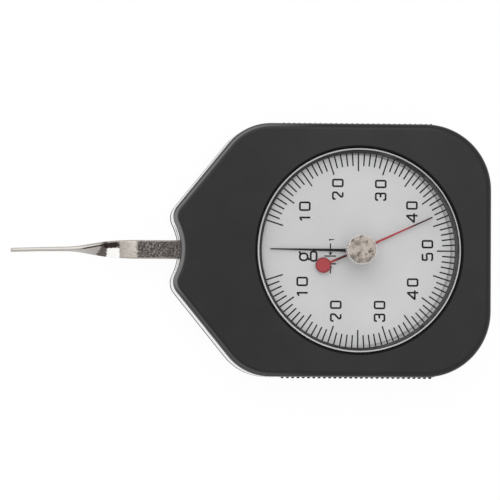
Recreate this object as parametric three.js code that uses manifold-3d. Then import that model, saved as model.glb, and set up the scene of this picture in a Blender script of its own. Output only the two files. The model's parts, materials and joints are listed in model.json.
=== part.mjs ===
// Dial tension gauge: a hand-held force gauge. A feeler lever turns a toothed sector, the sector
// turns a pinion and its pointer against a spiral spring, and a second pointer, reset by the knob
// on the crystal, stays at the highest reading.
// Millimetres. The dial axis is Z, the back face lies in Z = 0, and the lever points along -X.
import * as THREE from "three";
import { mergeVertices, toCreasedNormals } from "three/addons/utils/BufferGeometryUtils.js";
import Module from "manifold-3d";

const wasm = await Module();
wasm.setup();

// What the rest is set out from: the crystal, and the distance between the two arbors
const crystalRadius = 24.95;
const pivotReach = 33; // dial axis to lever axis

// Case outline, seen from the front
const sideMargin = 6.05; // crystal to each long side
const endMargin = 7.55; // crystal to the end opposite the lever
const caseCornerRadius = 16.2; // at the end opposite the lever
const shoulderRadius = 13.35; // where each long side turns into its flank
const flankAngle = THREE.MathUtils.degToRad(51); // flank to the X axis
const notchMargin = 10.6; // lever axis to the bottom of the hollow round the lever
const notchRadius = 14;
const noseRadius = 4.05;
const noseSpread = 8; // lever's middle to the centre of each rounded nose

// Front and rear covers
const frontCoverHeight = 3;
const rearCoverHeight = 3;
const coverFace = 1.8;
const coverSkirt = 2;
const frontEdgeRadius = 1.5;
const rearEdgeRadius = 1.2;

// Frame: the metal band between the covers
const frameWall = 2;
const lugHeight = 1.4;
const lugRadius = 2.4;
const lugInset = 5.2; // case outline to each lug's screw, on the sides
const bossRadius = 2.6;
const bossEdgeDistance = 4.2; // case outline to the centre of a case screw
const endLugInset = 6.2; // case outline to the lug's screw, at the end opposite the lever
const slotClearance = 0.7; // round the lever, at the end of its swing

// Grip ribs along both sides of the frame
const ribPitch = 1.3;
const ribCount = 29;
const ribHeight = 0.35;
const ribRootWidth = 0.6;
const ribTipWidth = 0.25;
const ribLength = 2.6; // along Z, in the middle of the band
const ribPadMargin = 0.7;
const ribPadDepth = 1.2;

// Crystal and its seat in the front cover
const crystalThickness = 1.7;
const crystalBevel = 0.4;
const crystalRecess = 0.1; // below the cover's face
const crystalClearance = 0.15;
const windowLedge = 0.9; // the crystal's rim that rests on the cover
const windowChamferWidth = 0.4;
const windowChamferDepth = 0.8;
const wellWall = 1.4; // tube of the cover round the dial, outside the crystal's seat
const wellGap = 0.3; // tube to dial

// Dial
const dialMargin = 0.6; // beyond the crystal
const dialThickness = 0.5;
const dialHoleRadius = 1;
const dialFootRadius = 0.6;
const dialFootLength = 0.8;
const dialFootX = -9;
const dialFootY = 12;

// Movement plate, bridge and what joins them
const plateThickness = 1;
const plateEarRadius = 2.6; // round its screws and pillars
const plateNoseRadius = 6.5;
const bridgeThickness = 1.2;
const bridgeNoseRadius = 5.5;
const bridgeEarRadius = 4;
const bridgeWindowEnd = 9; // pivot and dial axis to the bridge's window
const bridgeWindowSmall = 2.6;
const bridgeWindowLarge = 5;
const pillarRadius = 1.7;
const pillarSpigotRadius = 0.8;
const pillarFrontX = 13;
const pillarSideX = -12.5;
const pillarSideY = 20;
const endShake = 0.15; // between an arbor's shoulder and its bearing
const seatGap = 0.05; // between a fixed piece and its hole
const runningClearance = 0.08; // between a journal and its bearing

// Screws
const caseScrewRadius = 0.95;
const caseScrewHeadRadius = 1.9;
const caseScrewHeadHeight = 1;
const caseScrewBite = 1.8; // length in the front cover
const caseScrewSink = 0.1;
const smallScrewRadius = 0.7;
const smallScrewHeadRadius = 1.4;
const smallScrewHeadHeight = 0.7;
const smallScrewBite = 1.2;
const screwHoleClearance = 0.15;
const crossWidth = 0.45;
const crossDepthShare = 0.6; // of the head's height
const crossLengthShare = 1.25; // of the head's radius
const slotCutWidth = 0.35;

// Lever, swinging about its own axis
const leverLimit = THREE.MathUtils.degToRad(15);
const leverWidth = 4.6;
const leverThickness = 1;
const leverEdgeRadius = 0.42;
const edgeRadiusShare = 0.98; // most that the edges may take of half the thickness
const leverEyeRadius = 3.7;
const leverFlatLength = 11; // hollow in the case to where the strip begins to twist
const twistLength = 17;
const bladeLength = 13.35; // end of the twist to the tip
const tipWidth = 3.2;
const tipThickness = 0.85;
const tipFlatLength = 7;
const tipChamfer = 0.18;

// Lever arbor and what it carries
const leverArborRadius = 1.6;
const leverJournalRadius = 0.8;
const arborFlangeRadius = 3;
const arborFlangeHeight = 0.4;
const collarRadius = 3.2;
const collarHeight = 0.8;
const rivetCircle = 2.42;
const rivetRadius = 0.4;
const rivetHeadRadius = 0.62;
const rivetHeadHeight = 0.2;
const sectorThickness = 1.1;
const sectorHubRadius = 4.2;
const sectorRimWidth = 2.2;
const sectorSpokeHalfWidth = 1.3;
const sectorEdgeWidth = 1.9;
const sectorWindowStart = 7.5;
const weightRadius = 2.6;
const weightHeight = 1.4;
const weightRivetRadius = 0.7;
const weightGap = 1.9; // to the spiral spring
const stopPinInset = 6; // sector's root circle to the stop pins
const stopPinRadius = 1;
const stopPinHeight = 2.2;
const stopPinClearance = 0.25;

// Gear train
const pinionTeeth = 15;
const sectorTeeth = 180; // on the whole circle
const sectorTeethCut = 19;
const pressureAngle = THREE.MathUtils.degToRad(20);
const toothBacklash = 0.09;
const addendumShare = 0.9; // of the module
const dedendumShare = 1.2; // of the module
const pinionOverhang = 0.2; // pinion beyond the sector's faces

// Pinion arbor
const pinionJournalRadius = 0.5;
const pinionShaftRadius = 0.9;
const upperJournalRadius = 0.7;
const journalTail = 0.5; // journal beyond its bearing
const bushRadius = 1.8;

// Spiral spring
const colletRadius = 1.7;
const springGap = 0.3; // above the pinion and below the bridge
const springWidth = 1.2;
const springThickness = 0.2;
const springPitch = 1.3;
const springTurns = 5;
const studRadius = 0.8;
const studRise = 0.3; // above the spring

// Pointers
const handGap = 0.25; // dial to pointer hub, and hub to hub
const handThickness = 0.2;
const handSeat = 0.15; // hub's lower face to the hand
const pointerHubRadius = 1.1;
const pointerHubHeight = 0.5;
const pointerSeatRadius = 0.45;
const pointerTipMargin = 3.3; // within the crystal's edge
const pointerRootWidth = 1.15;
const pointerTipWidth = 0.2;
const maxHubRadius = 1.6;
const maxHubHeight = 0.6;
const maxPointerTipMargin = 5; // within the crystal's edge
const maxPointerRootWidth = 0.6;
const maxPointerTipWidth = 0.24;
const tailReach = 9.2;
const tailDiscRadius = 1.9;
const pegCircle = 5;
const pegRadius = 0.25;
const pegDrop = 0.12; // below the hub, short of the pointer under it
const maxPointerRest = THREE.MathUtils.degToRad(23.5);

// Reset knob, its bush in the crystal, spindle and friction washer
const bushBodyRadius = 1.6;
const bushFlangeRadius = 2.5;
const bushFlangeHeight = 1;
const bushLipRadius = 2.1;
const bushLipHeight = 0.25;
const spindleRadius = 0.8;
const spindleSeatRadius = 0.5;
const washerRadius = 1.5;
const washerThickness = 0.15;
const knobRadius = 3.65;
const knobHeight = 5.1;
const knobGap = 0.3; // bush to knob
const knobTeeth = 30;
const knurlDepth = 0.24;
const knobChamfer = 0.35;
const knobCap = 1.6; // metal above the spindle's end

// How finely curves are drawn
const cornerSteps = 7;
const shoulderSteps = 5;
const noseSteps = 4;
const notchSteps = 6;
const filletSteps = 3;
const largeCircle = 48;
const mediumCircle = 24;
const smallCircle = 12;
const flankSteps = 3;
const springStepsPerTurn = 14;
const twistSteps = 14;
const edgeSteps = 2;
const overrun = 1; // how far a cut runs past what it cuts
const creaseAngle = THREE.MathUtils.degToRad(32);

// Heights, from the back face up
const frameBottom = rearCoverHeight;
const plateBottom = frameBottom + lugHeight;
const plateTop = plateBottom + plateThickness;
const trainBottom = plateTop + endShake;
const sectorBottom = trainBottom + arborFlangeHeight;
const sectorTop = sectorBottom + sectorThickness;
const leverBottom = sectorTop;
const leverTop = leverBottom + leverThickness;
const leverMiddle = leverBottom + leverThickness / 2;
const collarTop = leverTop + collarHeight;
const pinionTop = sectorTop + pinionOverhang;
const springBottom = pinionTop + springGap;
const springTop = springBottom + springWidth;
const weightTop = sectorTop + weightHeight;
const bridgeBottom = Math.max(collarTop + rivetHeadHeight, springTop + studRise, weightTop) + springGap;
const bridgeTop = bridgeBottom + bridgeThickness;
const dialBottom = bridgeTop;
const dialTop = dialBottom + dialThickness;
const pointerHubBottom = dialTop + handGap;
const pointerHubTop = pointerHubBottom + pointerHubHeight;
const maxHubBottom = pointerHubTop + handGap;
const maxHubTop = maxHubBottom + maxHubHeight;
const washerTop = maxHubTop + washerThickness;
const crystalBottom = washerTop + bushLipHeight;
const crystalTop = crystalBottom + crystalThickness;
const caseTop = crystalTop + crystalRecess;
const frameTop = caseTop - frontCoverHeight;
const bushTop = crystalTop + bushFlangeHeight;
const knobBottom = bushTop + knobGap;
const knobTop = knobBottom + knobHeight;
const spindleTop = knobTop - knobCap;

// Sizes across the case, from its middle
const caseHalfWidth = crystalRadius + sideMargin;
const caseRightReach = crystalRadius + endMargin;
const notchReach = pivotReach + notchMargin;
const twistStart = notchReach + leverFlatLength;
const twistEnd = twistStart + twistLength;
const leverReach = twistEnd + bladeLength;
const dialRadius = crystalRadius + dialMargin;
const pointerLength = crystalRadius - pointerTipMargin;
const maxPointerLength = crystalRadius - maxPointerTipMargin;

// Gear sizes follow the distance between the two arbors
const gearModule = (2 * pivotReach) / (pinionTeeth + sectorTeeth);
const sectorPitchRadius = (gearModule * sectorTeeth) / 2;
const sectorRootRadius = sectorPitchRadius - dedendumShare * gearModule;
const sectorEdgeAngle = (Math.PI / sectorTeeth) * (sectorTeethCut + 1);
const stopPinCircle = sectorRootRadius - stopPinInset;

// The spring's outer reach sets where the counterweight can stand
const springReach = colletRadius + seatGap + springThickness + springPitch * springTurns;
const weightCircle = pivotReach - springReach - weightGap - weightRadius;

// A closed geometry becomes a solid, whichever way its faces were wound.
function solid(geometry) {
  const bare = geometry.index ? geometry.toNonIndexed() : geometry.clone();
  for (const name of Object.keys(bare.attributes)) {
    if (name !== "position") bare.deleteAttribute(name);
  }
  const merged = mergeVertices(bare, 1e-5);
  const corners = [];
  for (let i = 0; i < merged.index.count; i += 3) {
    const [a, b, c] = [0, 1, 2].map((k) => merged.index.getX(i + k));
    if (a !== b && b !== c && c !== a) corners.push(a, b, c);
  }
  const build = (triangles) =>
    new wasm.Manifold(
      new wasm.Mesh({
        numProp: 3,
        vertProperties: merged.attributes.position.array,
        triVerts: new Uint32Array(triangles),
      }),
    );
  const made = build(corners);
  return made.volume() > 0 ? made : build(corners.reverse());
}

// A prism over a closed outline of [x, y] points.
function prism(outline, bottom, top) {
  const shape = new THREE.Shape(outline.map(([x, y]) => new THREE.Vector2(x, y)));
  const geometry = new THREE.ExtrudeGeometry(shape, { depth: top - bottom, bevelEnabled: false });
  return solid(geometry.translate(0, 0, bottom));
}

// A round bar along Z.
function rod(x, y, radius, bottom, top, steps = smallCircle) {
  const geometry = new THREE.CylinderGeometry(radius, radius, top - bottom, steps);
  return solid(geometry.rotateX(Math.PI / 2).translate(x, y, (bottom + top) / 2));
}

// A cone or taper along Z.
function taper(x, y, bottomRadius, topRadius, bottom, top, steps = smallCircle) {
  const geometry = new THREE.CylinderGeometry(topRadius, bottomRadius, top - bottom, steps);
  return solid(geometry.rotateX(Math.PI / 2).translate(x, y, (bottom + top) / 2));
}

// A block from its lowest to its highest corner.
function block(low, high) {
  const size = high.map((v, i) => v - low[i]);
  const middle = high.map((v, i) => (v + low[i]) / 2);
  return solid(new THREE.BoxGeometry(...size).translate(...middle));
}

// A turned piece: [radius, z] points from the axis back to the axis.
function turned(profile, steps = smallCircle) {
  const points = profile.map(([radius, z]) => new THREE.Vector2(radius, z));
  return solid(new THREE.LatheGeometry(points, steps).rotateX(Math.PI / 2));
}

// A ring with a round hole.
function ring(x, y, outerRadius, holeRadius, bottom, top, steps = smallCircle) {
  const hole = rod(x, y, holeRadius, bottom - overrun, top + overrun, steps);
  return rod(x, y, outerRadius, bottom, top, steps).subtract(hole);
}

// A skin over rings of [x, y, z] points, closed by a flat cap at each end.
function loft(rings) {
  const count = rings[0].length;
  const triangles = [];
  for (let k = 0; k + 1 < rings.length; k += 1) {
    for (let i = 0; i < count; i += 1) {
      const j = (i + 1) % count;
      triangles.push(rings[k][i], rings[k][j], rings[k + 1][j]);
      triangles.push(rings[k][i], rings[k + 1][j], rings[k + 1][i]);
    }
  }
  for (const [end, flip] of [[rings[0], true], [rings.at(-1), false]]) {
    for (const face of capFaces(end)) {
      const order = flip ? [face[0], face[2], face[1]] : face;
      triangles.push(...order.map((i) => end[i]));
    }
  }
  const geometry = new THREE.BufferGeometry();
  return solid(geometry.setAttribute("position", new THREE.Float32BufferAttribute(triangles.flat(), 3)));
}

// The triangles of a flat end ring, seen along the axis that it faces most.
function capFaces(end) {
  const corner = (i) => new THREE.Vector3(...end[i]);
  const across = corner(1).sub(corner(0));
  const normal = new THREE.Vector3();
  for (let i = 2; i < end.length; i += 1) normal.add(across.clone().cross(corner(i).sub(corner(0))));
  const facesX = Math.abs(normal.x) > Math.abs(normal.z);
  const flat = end.map(([x, y, z]) => (facesX ? new THREE.Vector2(y, z) : new THREE.Vector2(x, y)));
  return THREE.ShapeUtils.triangulateShape(flat, []);
}

// [x, y] points along an arc, both ends included.
function arc(x, y, radius, from, to, steps) {
  return Array.from({ length: steps + 1 }, (_, i) => {
    const angle = from + ((to - from) * i) / steps;
    return [x + radius * Math.cos(angle), y + radius * Math.sin(angle)];
  });
}

// The convex outline round several discs of [x, y, radius].
function hullOfDiscs(discs) {
  const points = discs.flatMap(([x, y, radius]) => arc(x, y, radius, 0, 2 * Math.PI, mediumCircle).slice(1));
  points.sort((a, b) => a[0] - b[0] || a[1] - b[1]);
  const turn = (o, a, b) => (a[0] - o[0]) * (b[1] - o[1]) - (a[1] - o[1]) * (b[0] - o[0]);
  const half = (list) => {
    const chain = [];
    for (const p of list) {
      while (chain.length > 1 && turn(chain.at(-2), chain.at(-1), p) <= 0) chain.pop();
      chain.push(p);
    }
    return chain.slice(0, -1);
  };
  return [...half(points), ...half(points.toReversed())];
}

// Centre of the rounded nose that touches the hollow round the lever.
const noseX = Math.sqrt((notchRadius + noseRadius) ** 2 - noseSpread ** 2) - notchReach - notchRadius;

// Centre of the rounded shoulder: the flank is tangent to it and to the nose.
const shoulderY = caseHalfWidth - shoulderRadius;
const flankRise = shoulderY - noseSpread + (shoulderRadius - noseRadius) * Math.cos(flankAngle);
const flankRun = flankRise / Math.tan(flankAngle);
const shoulderX = noseX + flankRun + (shoulderRadius - noseRadius) * Math.sin(flankAngle);

// Centre of the rounded corners opposite the lever.
const cornerX = caseRightReach - caseCornerRadius;
const cornerY = caseHalfWidth - caseCornerRadius;

// The case outline, moved in by an inset, anticlockwise from the lower right corner.
function caseOutline(inset) {
  const corner = caseCornerRadius - inset;
  const shoulder = shoulderRadius - inset;
  const notchX = -notchReach - notchRadius;
  const notchEnd = Math.atan2(noseSpread, noseX - notchX);
  const quarter = Math.PI / 2;
  const nose = noseRadius - inset;
  return [
    ...arc(cornerX, -cornerY, corner, -quarter, 0, cornerSteps),
    ...arc(cornerX, cornerY, corner, 0, quarter, cornerSteps),
    ...arc(shoulderX, shoulderY, shoulder, quarter, quarter + flankAngle, shoulderSteps),
    ...arc(noseX, noseSpread, nose, quarter + flankAngle, Math.PI + notchEnd, noseSteps),
    ...arc(notchX, 0, notchRadius + inset, notchEnd, -notchEnd, notchSteps).slice(1, -1),
    ...arc(noseX, -noseSpread, nose, Math.PI - notchEnd, 3 * quarter - flankAngle, noseSteps),
    ...arc(shoulderX, -shoulderY, shoulder, 3 * quarter - flankAngle, 3 * quarter, shoulderSteps),
  ];
}

// Case outline layers of [inset, z], skinned into a solid.
function caseSolid(layers) {
  return loft(layers.map(([inset, z]) => caseOutline(inset).map(([x, y]) => [x, y, z])));
}

// The four case screws, each as far in from its rounded corner or shoulder.
function caseScrewPlaces() {
  const spot = (x, y, radius, angle) => {
    const reach = radius - bossEdgeDistance;
    return [x + reach * Math.cos(angle), y + reach * Math.sin(angle)];
  };
  const right = spot(cornerX, cornerY, caseCornerRadius, Math.PI / 4);
  const left = spot(shoulderX, shoulderY, shoulderRadius, Math.PI / 2 + flankAngle / 2);
  return [right, left, [left[0], -left[1]], [right[0], -right[1]]];
}

const plateScrewPlaces = [
  [0, caseHalfWidth - lugInset], [0, lugInset - caseHalfWidth], [caseRightReach - endLugInset, 0],
];
const pillarPlaces = [[pillarFrontX, 0], [pillarSideX, pillarSideY], [pillarSideX, -pillarSideY]];
const leverAxis = [-pivotReach, 0];

// One comb of grip ribs, as an outline on the side that faces +Y.
function ribOutline() {
  const root = caseHalfWidth;
  const half = (ribPitch * (ribCount - 1)) / 2;
  const end = half + ribRootWidth / 2 + ribPadMargin;
  const points = [[end, root - ribPadDepth], [end, root]];
  for (let i = 0; i < ribCount; i += 1) {
    const x = half - i * ribPitch;
    points.push([x + ribRootWidth / 2, root], [x + ribTipWidth / 2, root + ribHeight]);
    points.push([x - ribTipWidth / 2, root + ribHeight], [x - ribRootWidth / 2, root]);
  }
  points.push([-end, root], [-end, root - ribPadDepth]);
  return points;
}

// The slot that the lever swings in, through the frame's nose.
function leverSlot() {
  const wallReach = notchReach - pivotReach;
  const half = wallReach * Math.tan(leverLimit) + leverWidth / 2 / Math.cos(leverLimit) + slotClearance;
  const inner = -notchReach + frameWall + noseRadius;
  const outer = -notchReach - noseRadius;
  return block([outer, -half, leverBottom - slotClearance], [inner, half, leverTop + slotClearance]);
}

function makeFrame() {
  const outside = prism(caseOutline(0), frameBottom, frameTop);
  const inside = prism(caseOutline(frameWall), frameBottom - overrun, frameTop + overrun);
  const middle = (frameBottom + frameTop) / 2;
  const comb = prism(ribOutline(), middle - ribLength / 2, middle + ribLength / 2);
  let frame = outside.subtract(inside).add(comb).add(comb.mirror([0, 1, 0]));
  for (const [x, y] of caseScrewPlaces()) {
    const boss = rod(x, y, bossRadius, frameBottom, frameTop);
    const hole = rod(x, y, caseScrewRadius + screwHoleClearance, frameBottom - overrun, frameTop + overrun);
    frame = frame.add(boss.intersect(outside)).subtract(hole);
  }
  for (const [x, y] of plateScrewPlaces) {
    const wall = [
      Math.sign(x) * (caseRightReach - frameWall / 2),
      Math.sign(y) * (caseHalfWidth - frameWall / 2),
    ];
    const half = [Math.sign(Math.abs(y)) * lugRadius, Math.sign(Math.abs(x)) * lugRadius];
    const low = [Math.min(x, wall[0]) - half[0], Math.min(y, wall[1]) - half[1], frameBottom];
    const high = [Math.max(x, wall[0]) + half[0], Math.max(y, wall[1]) + half[1], plateBottom];
    const hole = rod(x, y, smallScrewRadius + seatGap, frameBottom - overrun, plateBottom + overrun);
    frame = frame.add(block(low, high)).add(rod(x, y, lugRadius, frameBottom, plateBottom)).subtract(hole);
  }
  return frame.subtract(leverSlot());
}

// The layers of a cover's rounded edge, from its straight skirt to its face.
function roundedEdge(radius, skirtZ, faceZ) {
  const rise = Math.sign(faceZ - skirtZ);
  return Array.from({ length: filletSteps + 1 }, (_, i) => {
    const angle = (Math.PI / 2) * (i / filletSteps);
    return [radius * (1 - Math.cos(angle)), faceZ - rise * radius * (1 - Math.sin(angle))];
  });
}

function makeFrontCover() {
  const seatRadius = crystalRadius + crystalClearance;
  const wellRadius = crystalRadius - windowLedge;
  const tubeRadius = seatRadius + wellWall;
  const tubeBottom = dialTop + wellGap;
  const ceiling = caseTop - coverFace;
  const outside = caseSolid([[0, frameTop], ...roundedEdge(frontEdgeRadius, frameTop, caseTop)]);
  let hollow = caseSolid([[coverSkirt, frameTop - overrun], [coverSkirt, ceiling]]);
  hollow = hollow.subtract(rod(0, 0, tubeRadius, frameTop - overrun, caseTop, largeCircle));
  for (const [x, y] of caseScrewPlaces()) {
    hollow = hollow.subtract(rod(x, y, bossRadius, frameTop - overrun, caseTop));
  }
  const tube = rod(0, 0, tubeRadius, tubeBottom, frameTop + overrun, largeCircle);
  const chamferBottom = caseTop - windowChamferDepth;
  const chamferGrowth = (windowChamferWidth / windowChamferDepth) * overrun;
  const chamferMouth = seatRadius + windowChamferWidth + chamferGrowth;
  const above = caseTop + overrun;
  let cover = outside.subtract(hollow).add(tube);
  cover = cover.subtract(rod(0, 0, wellRadius, tubeBottom - overrun, above, largeCircle));
  cover = cover.subtract(rod(0, 0, seatRadius, crystalBottom, above, largeCircle));
  cover = cover.subtract(taper(0, 0, seatRadius, chamferMouth, chamferBottom, above, largeCircle));
  for (const [x, y] of caseScrewPlaces()) {
    const depth = frameTop + caseScrewBite + seatGap;
    cover = cover.subtract(rod(x, y, caseScrewRadius + seatGap, frameTop - overrun, depth));
  }
  return cover;
}

function makeRearCover() {
  const outside = caseSolid([[0, frameBottom], ...roundedEdge(rearEdgeRadius, frameBottom, 0)]);
  let hollow = caseSolid([[coverSkirt, coverFace], [coverSkirt, frameBottom + overrun]]);
  for (const [x, y] of caseScrewPlaces()) {
    hollow = hollow.subtract(rod(x, y, bossRadius, 0, frameBottom + overrun));
  }
  let cover = outside.subtract(hollow);
  const slope = (caseScrewHeadRadius - caseScrewRadius) / caseScrewHeadHeight;
  for (const [x, y] of caseScrewPlaces()) {
    const hole = rod(x, y, caseScrewRadius + screwHoleClearance, -overrun, frameBottom + overrun);
    const mouth = caseScrewHeadRadius + screwHoleClearance + slope * (caseScrewSink + overrun);
    const sinkTop = caseScrewSink + caseScrewHeadHeight;
    const sink = taper(x, y, mouth, caseScrewRadius + screwHoleClearance, -overrun, sinkTop);
    cover = cover.subtract(hole).subtract(sink);
  }
  return cover;
}

// A countersunk screw with a cross recess, its head at the bottom and its axis on Z.
function makeCaseScrew() {
  const headTop = caseScrewSink + caseScrewHeadHeight;
  const tip = frameTop + caseScrewBite;
  const crossTop = caseScrewSink + crossDepthShare * caseScrewHeadHeight;
  const arm = crossLengthShare * caseScrewHeadRadius / 2;
  const half = crossWidth / 2;
  const screw = turned([
    [0, caseScrewSink], [caseScrewHeadRadius, caseScrewSink], [caseScrewRadius, headTop],
    [caseScrewRadius, tip - caseScrewRadius / 2], [caseScrewRadius / 2, tip], [0, tip],
  ]);
  const bar = block([-arm, -half, -overrun], [arm, half, crossTop]);
  return screw.subtract(bar).subtract(bar.rotate([0, 0, 90]));
}

// A slotted cheese-head screw standing on a face, its axis on Z.
function makeCheeseScrew(face) {
  const head = rod(0, 0, smallScrewHeadRadius, face, face + smallScrewHeadHeight);
  const shank = rod(0, 0, smallScrewRadius, face - plateThickness - smallScrewBite, face);
  const slotBottom = face + smallScrewHeadHeight / 2;
  const slotTop = face + smallScrewHeadHeight + overrun;
  const reach = smallScrewHeadRadius + overrun;
  const slot = block([-reach, -slotCutWidth / 2, slotBottom], [reach, slotCutWidth / 2, slotTop]);
  return head.add(shank).subtract(slot);
}

// A slotted countersunk screw, flush with the bridge's upper face.
function makeBridgeScrew() {
  const head = bridgeTop - smallScrewHeadHeight;
  const tip = bridgeBottom - smallScrewBite;
  const screw = turned([
    [0, tip], [smallScrewRadius, tip], [smallScrewRadius, head], [smallScrewHeadRadius, bridgeTop],
    [0, bridgeTop],
  ]);
  const reach = smallScrewHeadRadius + overrun;
  const slotBottom = bridgeTop - smallScrewHeadHeight / 2;
  const slot = block([-reach, -slotCutWidth / 2, slotBottom], [reach, slotCutWidth / 2, bridgeTop + overrun]);
  return screw.subtract(slot);
}

function makeMainPlate() {
  const ears = [...plateScrewPlaces, ...pillarPlaces].map((place) => [...place, plateEarRadius]);
  const outline = hullOfDiscs([[0, 0, dialRadius], [...leverAxis, plateNoseRadius], ...ears]);
  const holes = [
    [0, 0, bushRadius + seatGap],
    [...leverAxis, bushRadius + seatGap],
    ...plateScrewPlaces.map((place) => [...place, smallScrewRadius + screwHoleClearance]),
    ...pillarPlaces.map((place) => [...place, pillarSpigotRadius + seatGap]),
    ...stopPinPlaces().map((place) => [...place, stopPinRadius + seatGap]),
    [...studPlace(), studRadius + seatGap],
  ];
  return drilled(prism(outline, plateBottom, plateTop), holes, plateBottom, plateTop);
}

// A plate with round holes of [x, y, radius].
function drilled(plate, holes, bottom, top) {
  return holes.reduce(
    (left, [x, y, radius]) => left.subtract(rod(x, y, radius, bottom - overrun, top + overrun)),
    plate,
  );
}

function makeBridge() {
  const outline = hullOfDiscs([
    [...leverAxis, bridgeNoseRadius],
    ...pillarPlaces.map((place) => [...place, bridgeEarRadius]),
  ]);
  const window = hullOfDiscs([
    [-pivotReach + bridgeWindowEnd, 0, bridgeWindowSmall],
    [-bridgeWindowEnd - bridgeWindowLarge, 0, bridgeWindowLarge],
  ]);
  const holes = [
    [0, 0, bushRadius + seatGap],
    [...leverAxis, bushRadius + seatGap],
    ...pillarPlaces.map((place) => [...place, smallScrewRadius + screwHoleClearance]),
    [dialFootX, dialFootY, dialFootRadius + seatGap],
    [dialFootX, -dialFootY, dialFootRadius + seatGap],
  ];
  let bridge = drilled(prism(outline, bridgeBottom, bridgeTop), holes, bridgeBottom, bridgeTop);
  bridge = bridge.subtract(prism(window, bridgeBottom - overrun, bridgeTop + overrun));
  const slope = (smallScrewHeadRadius - smallScrewRadius) / smallScrewHeadHeight;
  for (const [x, y] of pillarPlaces) {
    const mouth = smallScrewHeadRadius + screwHoleClearance + slope * overrun;
    const throat = smallScrewRadius + screwHoleClearance;
    const sinkBottom = bridgeTop - smallScrewHeadHeight;
    bridge = bridge.subtract(taper(x, y, throat, mouth, sinkBottom, bridgeTop + overrun));
  }
  return bridge;
}

// A pillar with a riveted spigot below and a tapped hole above, its axis on Z.
function makePillar() {
  const holeBottom = bridgeBottom - smallScrewBite - seatGap;
  const tapped = rod(0, 0, smallScrewRadius + seatGap, holeBottom, bridgeBottom + overrun);
  const spigot = rod(0, 0, pillarSpigotRadius, plateBottom, plateTop + seatGap);
  return rod(0, 0, pillarRadius, plateTop, bridgeBottom).add(spigot).subtract(tapped);
}

function makeDial() {
  const face = ring(0, 0, dialRadius, dialHoleRadius, dialBottom, dialTop, largeCircle);
  const footBottom = dialBottom - dialFootLength;
  const footTop = dialBottom + dialThickness / 2;
  const foot = rod(dialFootX, dialFootY, dialFootRadius, footBottom, footTop);
  return face.add(foot).add(foot.mirror([0, 1, 0]));
}

function makeCrystal() {
  const bevelBottom = crystalTop - crystalBevel;
  const disc = turned([
    [0, crystalBottom], [crystalRadius, crystalBottom], [crystalRadius, bevelBottom],
    [crystalRadius - crystalBevel, crystalTop], [0, crystalTop],
  ], largeCircle);
  const hole = bushBodyRadius + seatGap;
  return disc.subtract(rod(0, 0, hole, crystalBottom - overrun, crystalTop + overrun, mediumCircle));
}

function makeCrystalBush() {
  const bottom = crystalBottom - bushLipHeight;
  const bush = turned([
    [0, bottom], [bushLipRadius, bottom], [bushLipRadius, crystalBottom], [bushBodyRadius, crystalBottom],
    [bushBodyRadius, crystalTop], [bushFlangeRadius, crystalTop], [bushFlangeRadius, bushTop], [0, bushTop],
  ], mediumCircle);
  return bush.subtract(rod(0, 0, spindleRadius + runningClearance, bottom - overrun, bushTop + overrun));
}

// The lever's section at a distance from the dial axis: flat at the case, turned a quarter by its tip.
function leverSection(distance) {
  const turn = THREE.MathUtils.smoothstep(distance, twistStart, twistEnd) * (Math.PI / 2);
  const tipStart = leverReach - tipFlatLength;
  const narrowing = THREE.MathUtils.clamp((distance - twistStart) / (tipStart - twistStart), 0, 1);
  const chamfer = distance >= leverReach ? tipChamfer : 0;
  const halfWidth = THREE.MathUtils.lerp(leverWidth, tipWidth, narrowing) / 2 - chamfer;
  const halfThickness = THREE.MathUtils.lerp(leverThickness, tipThickness, narrowing) / 2 - chamfer;
  const radius = Math.min(leverEdgeRadius, edgeRadiusShare * halfThickness);
  const x = halfWidth - radius;
  const y = halfThickness - radius;
  const outline = [[x, y], [-x, y], [-x, -y], [x, -y]].flatMap(([cx, cy], k) =>
    arc(cx, cy, radius, (k * Math.PI) / 2, ((k + 1) * Math.PI) / 2, edgeSteps),
  );
  return outline.map(([across, up]) => [
    pivotReach - distance,
    across * Math.cos(turn) - up * Math.sin(turn),
    leverMiddle + across * Math.sin(turn) + up * Math.cos(turn),
  ]);
}

function makeLever() {
  const distances = [pivotReach + leverArborRadius, twistStart];
  for (let i = 1; i <= twistSteps; i += 1) {
    distances.push(twistStart + ((twistEnd - twistStart) * i) / twistSteps);
  }
  distances.push(leverReach - tipFlatLength, leverReach - tipChamfer, leverReach);
  const blade = loft(distances.map(leverSection));
  const eye = rod(0, 0, leverEyeRadius, leverBottom, leverTop, mediumCircle);
  const boreRadius = leverArborRadius + seatGap;
  const bore = rod(0, 0, boreRadius, leverBottom - overrun, leverTop + overrun, mediumCircle);
  return drilled(blade.add(eye).subtract(bore), rivetHoles(), leverBottom, leverTop);
}

const rivetPlaces = [[0, rivetCircle], [0, -rivetCircle]];

function rivetHoles() {
  return rivetPlaces.map((place) => [...place, rivetRadius + seatGap]);
}

function makeLeverArbor() {
  const lowerEnd = plateBottom - journalTail;
  const upperEnd = bridgeTop - endShake;
  const shoulder = bridgeBottom - endShake;
  return turned([
    [0, lowerEnd], [leverJournalRadius, lowerEnd], [leverJournalRadius, trainBottom],
    [arborFlangeRadius, trainBottom], [arborFlangeRadius, sectorBottom], [leverArborRadius, sectorBottom],
    [leverArborRadius, shoulder], [leverJournalRadius, shoulder], [leverJournalRadius, upperEnd],
    [0, upperEnd],
  ], mediumCircle);
}

function makeLeverCollar() {
  const collar = ring(0, 0, collarRadius, leverArborRadius + seatGap, leverTop, collarTop, mediumCircle);
  return drilled(collar, rivetHoles(), leverTop, collarTop);
}

function makeRivet() {
  const shank = rod(0, 0, rivetRadius, sectorBottom, collarTop);
  return shank.add(rod(0, 0, rivetHeadRadius, collarTop, collarTop + rivetHeadHeight));
}

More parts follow.
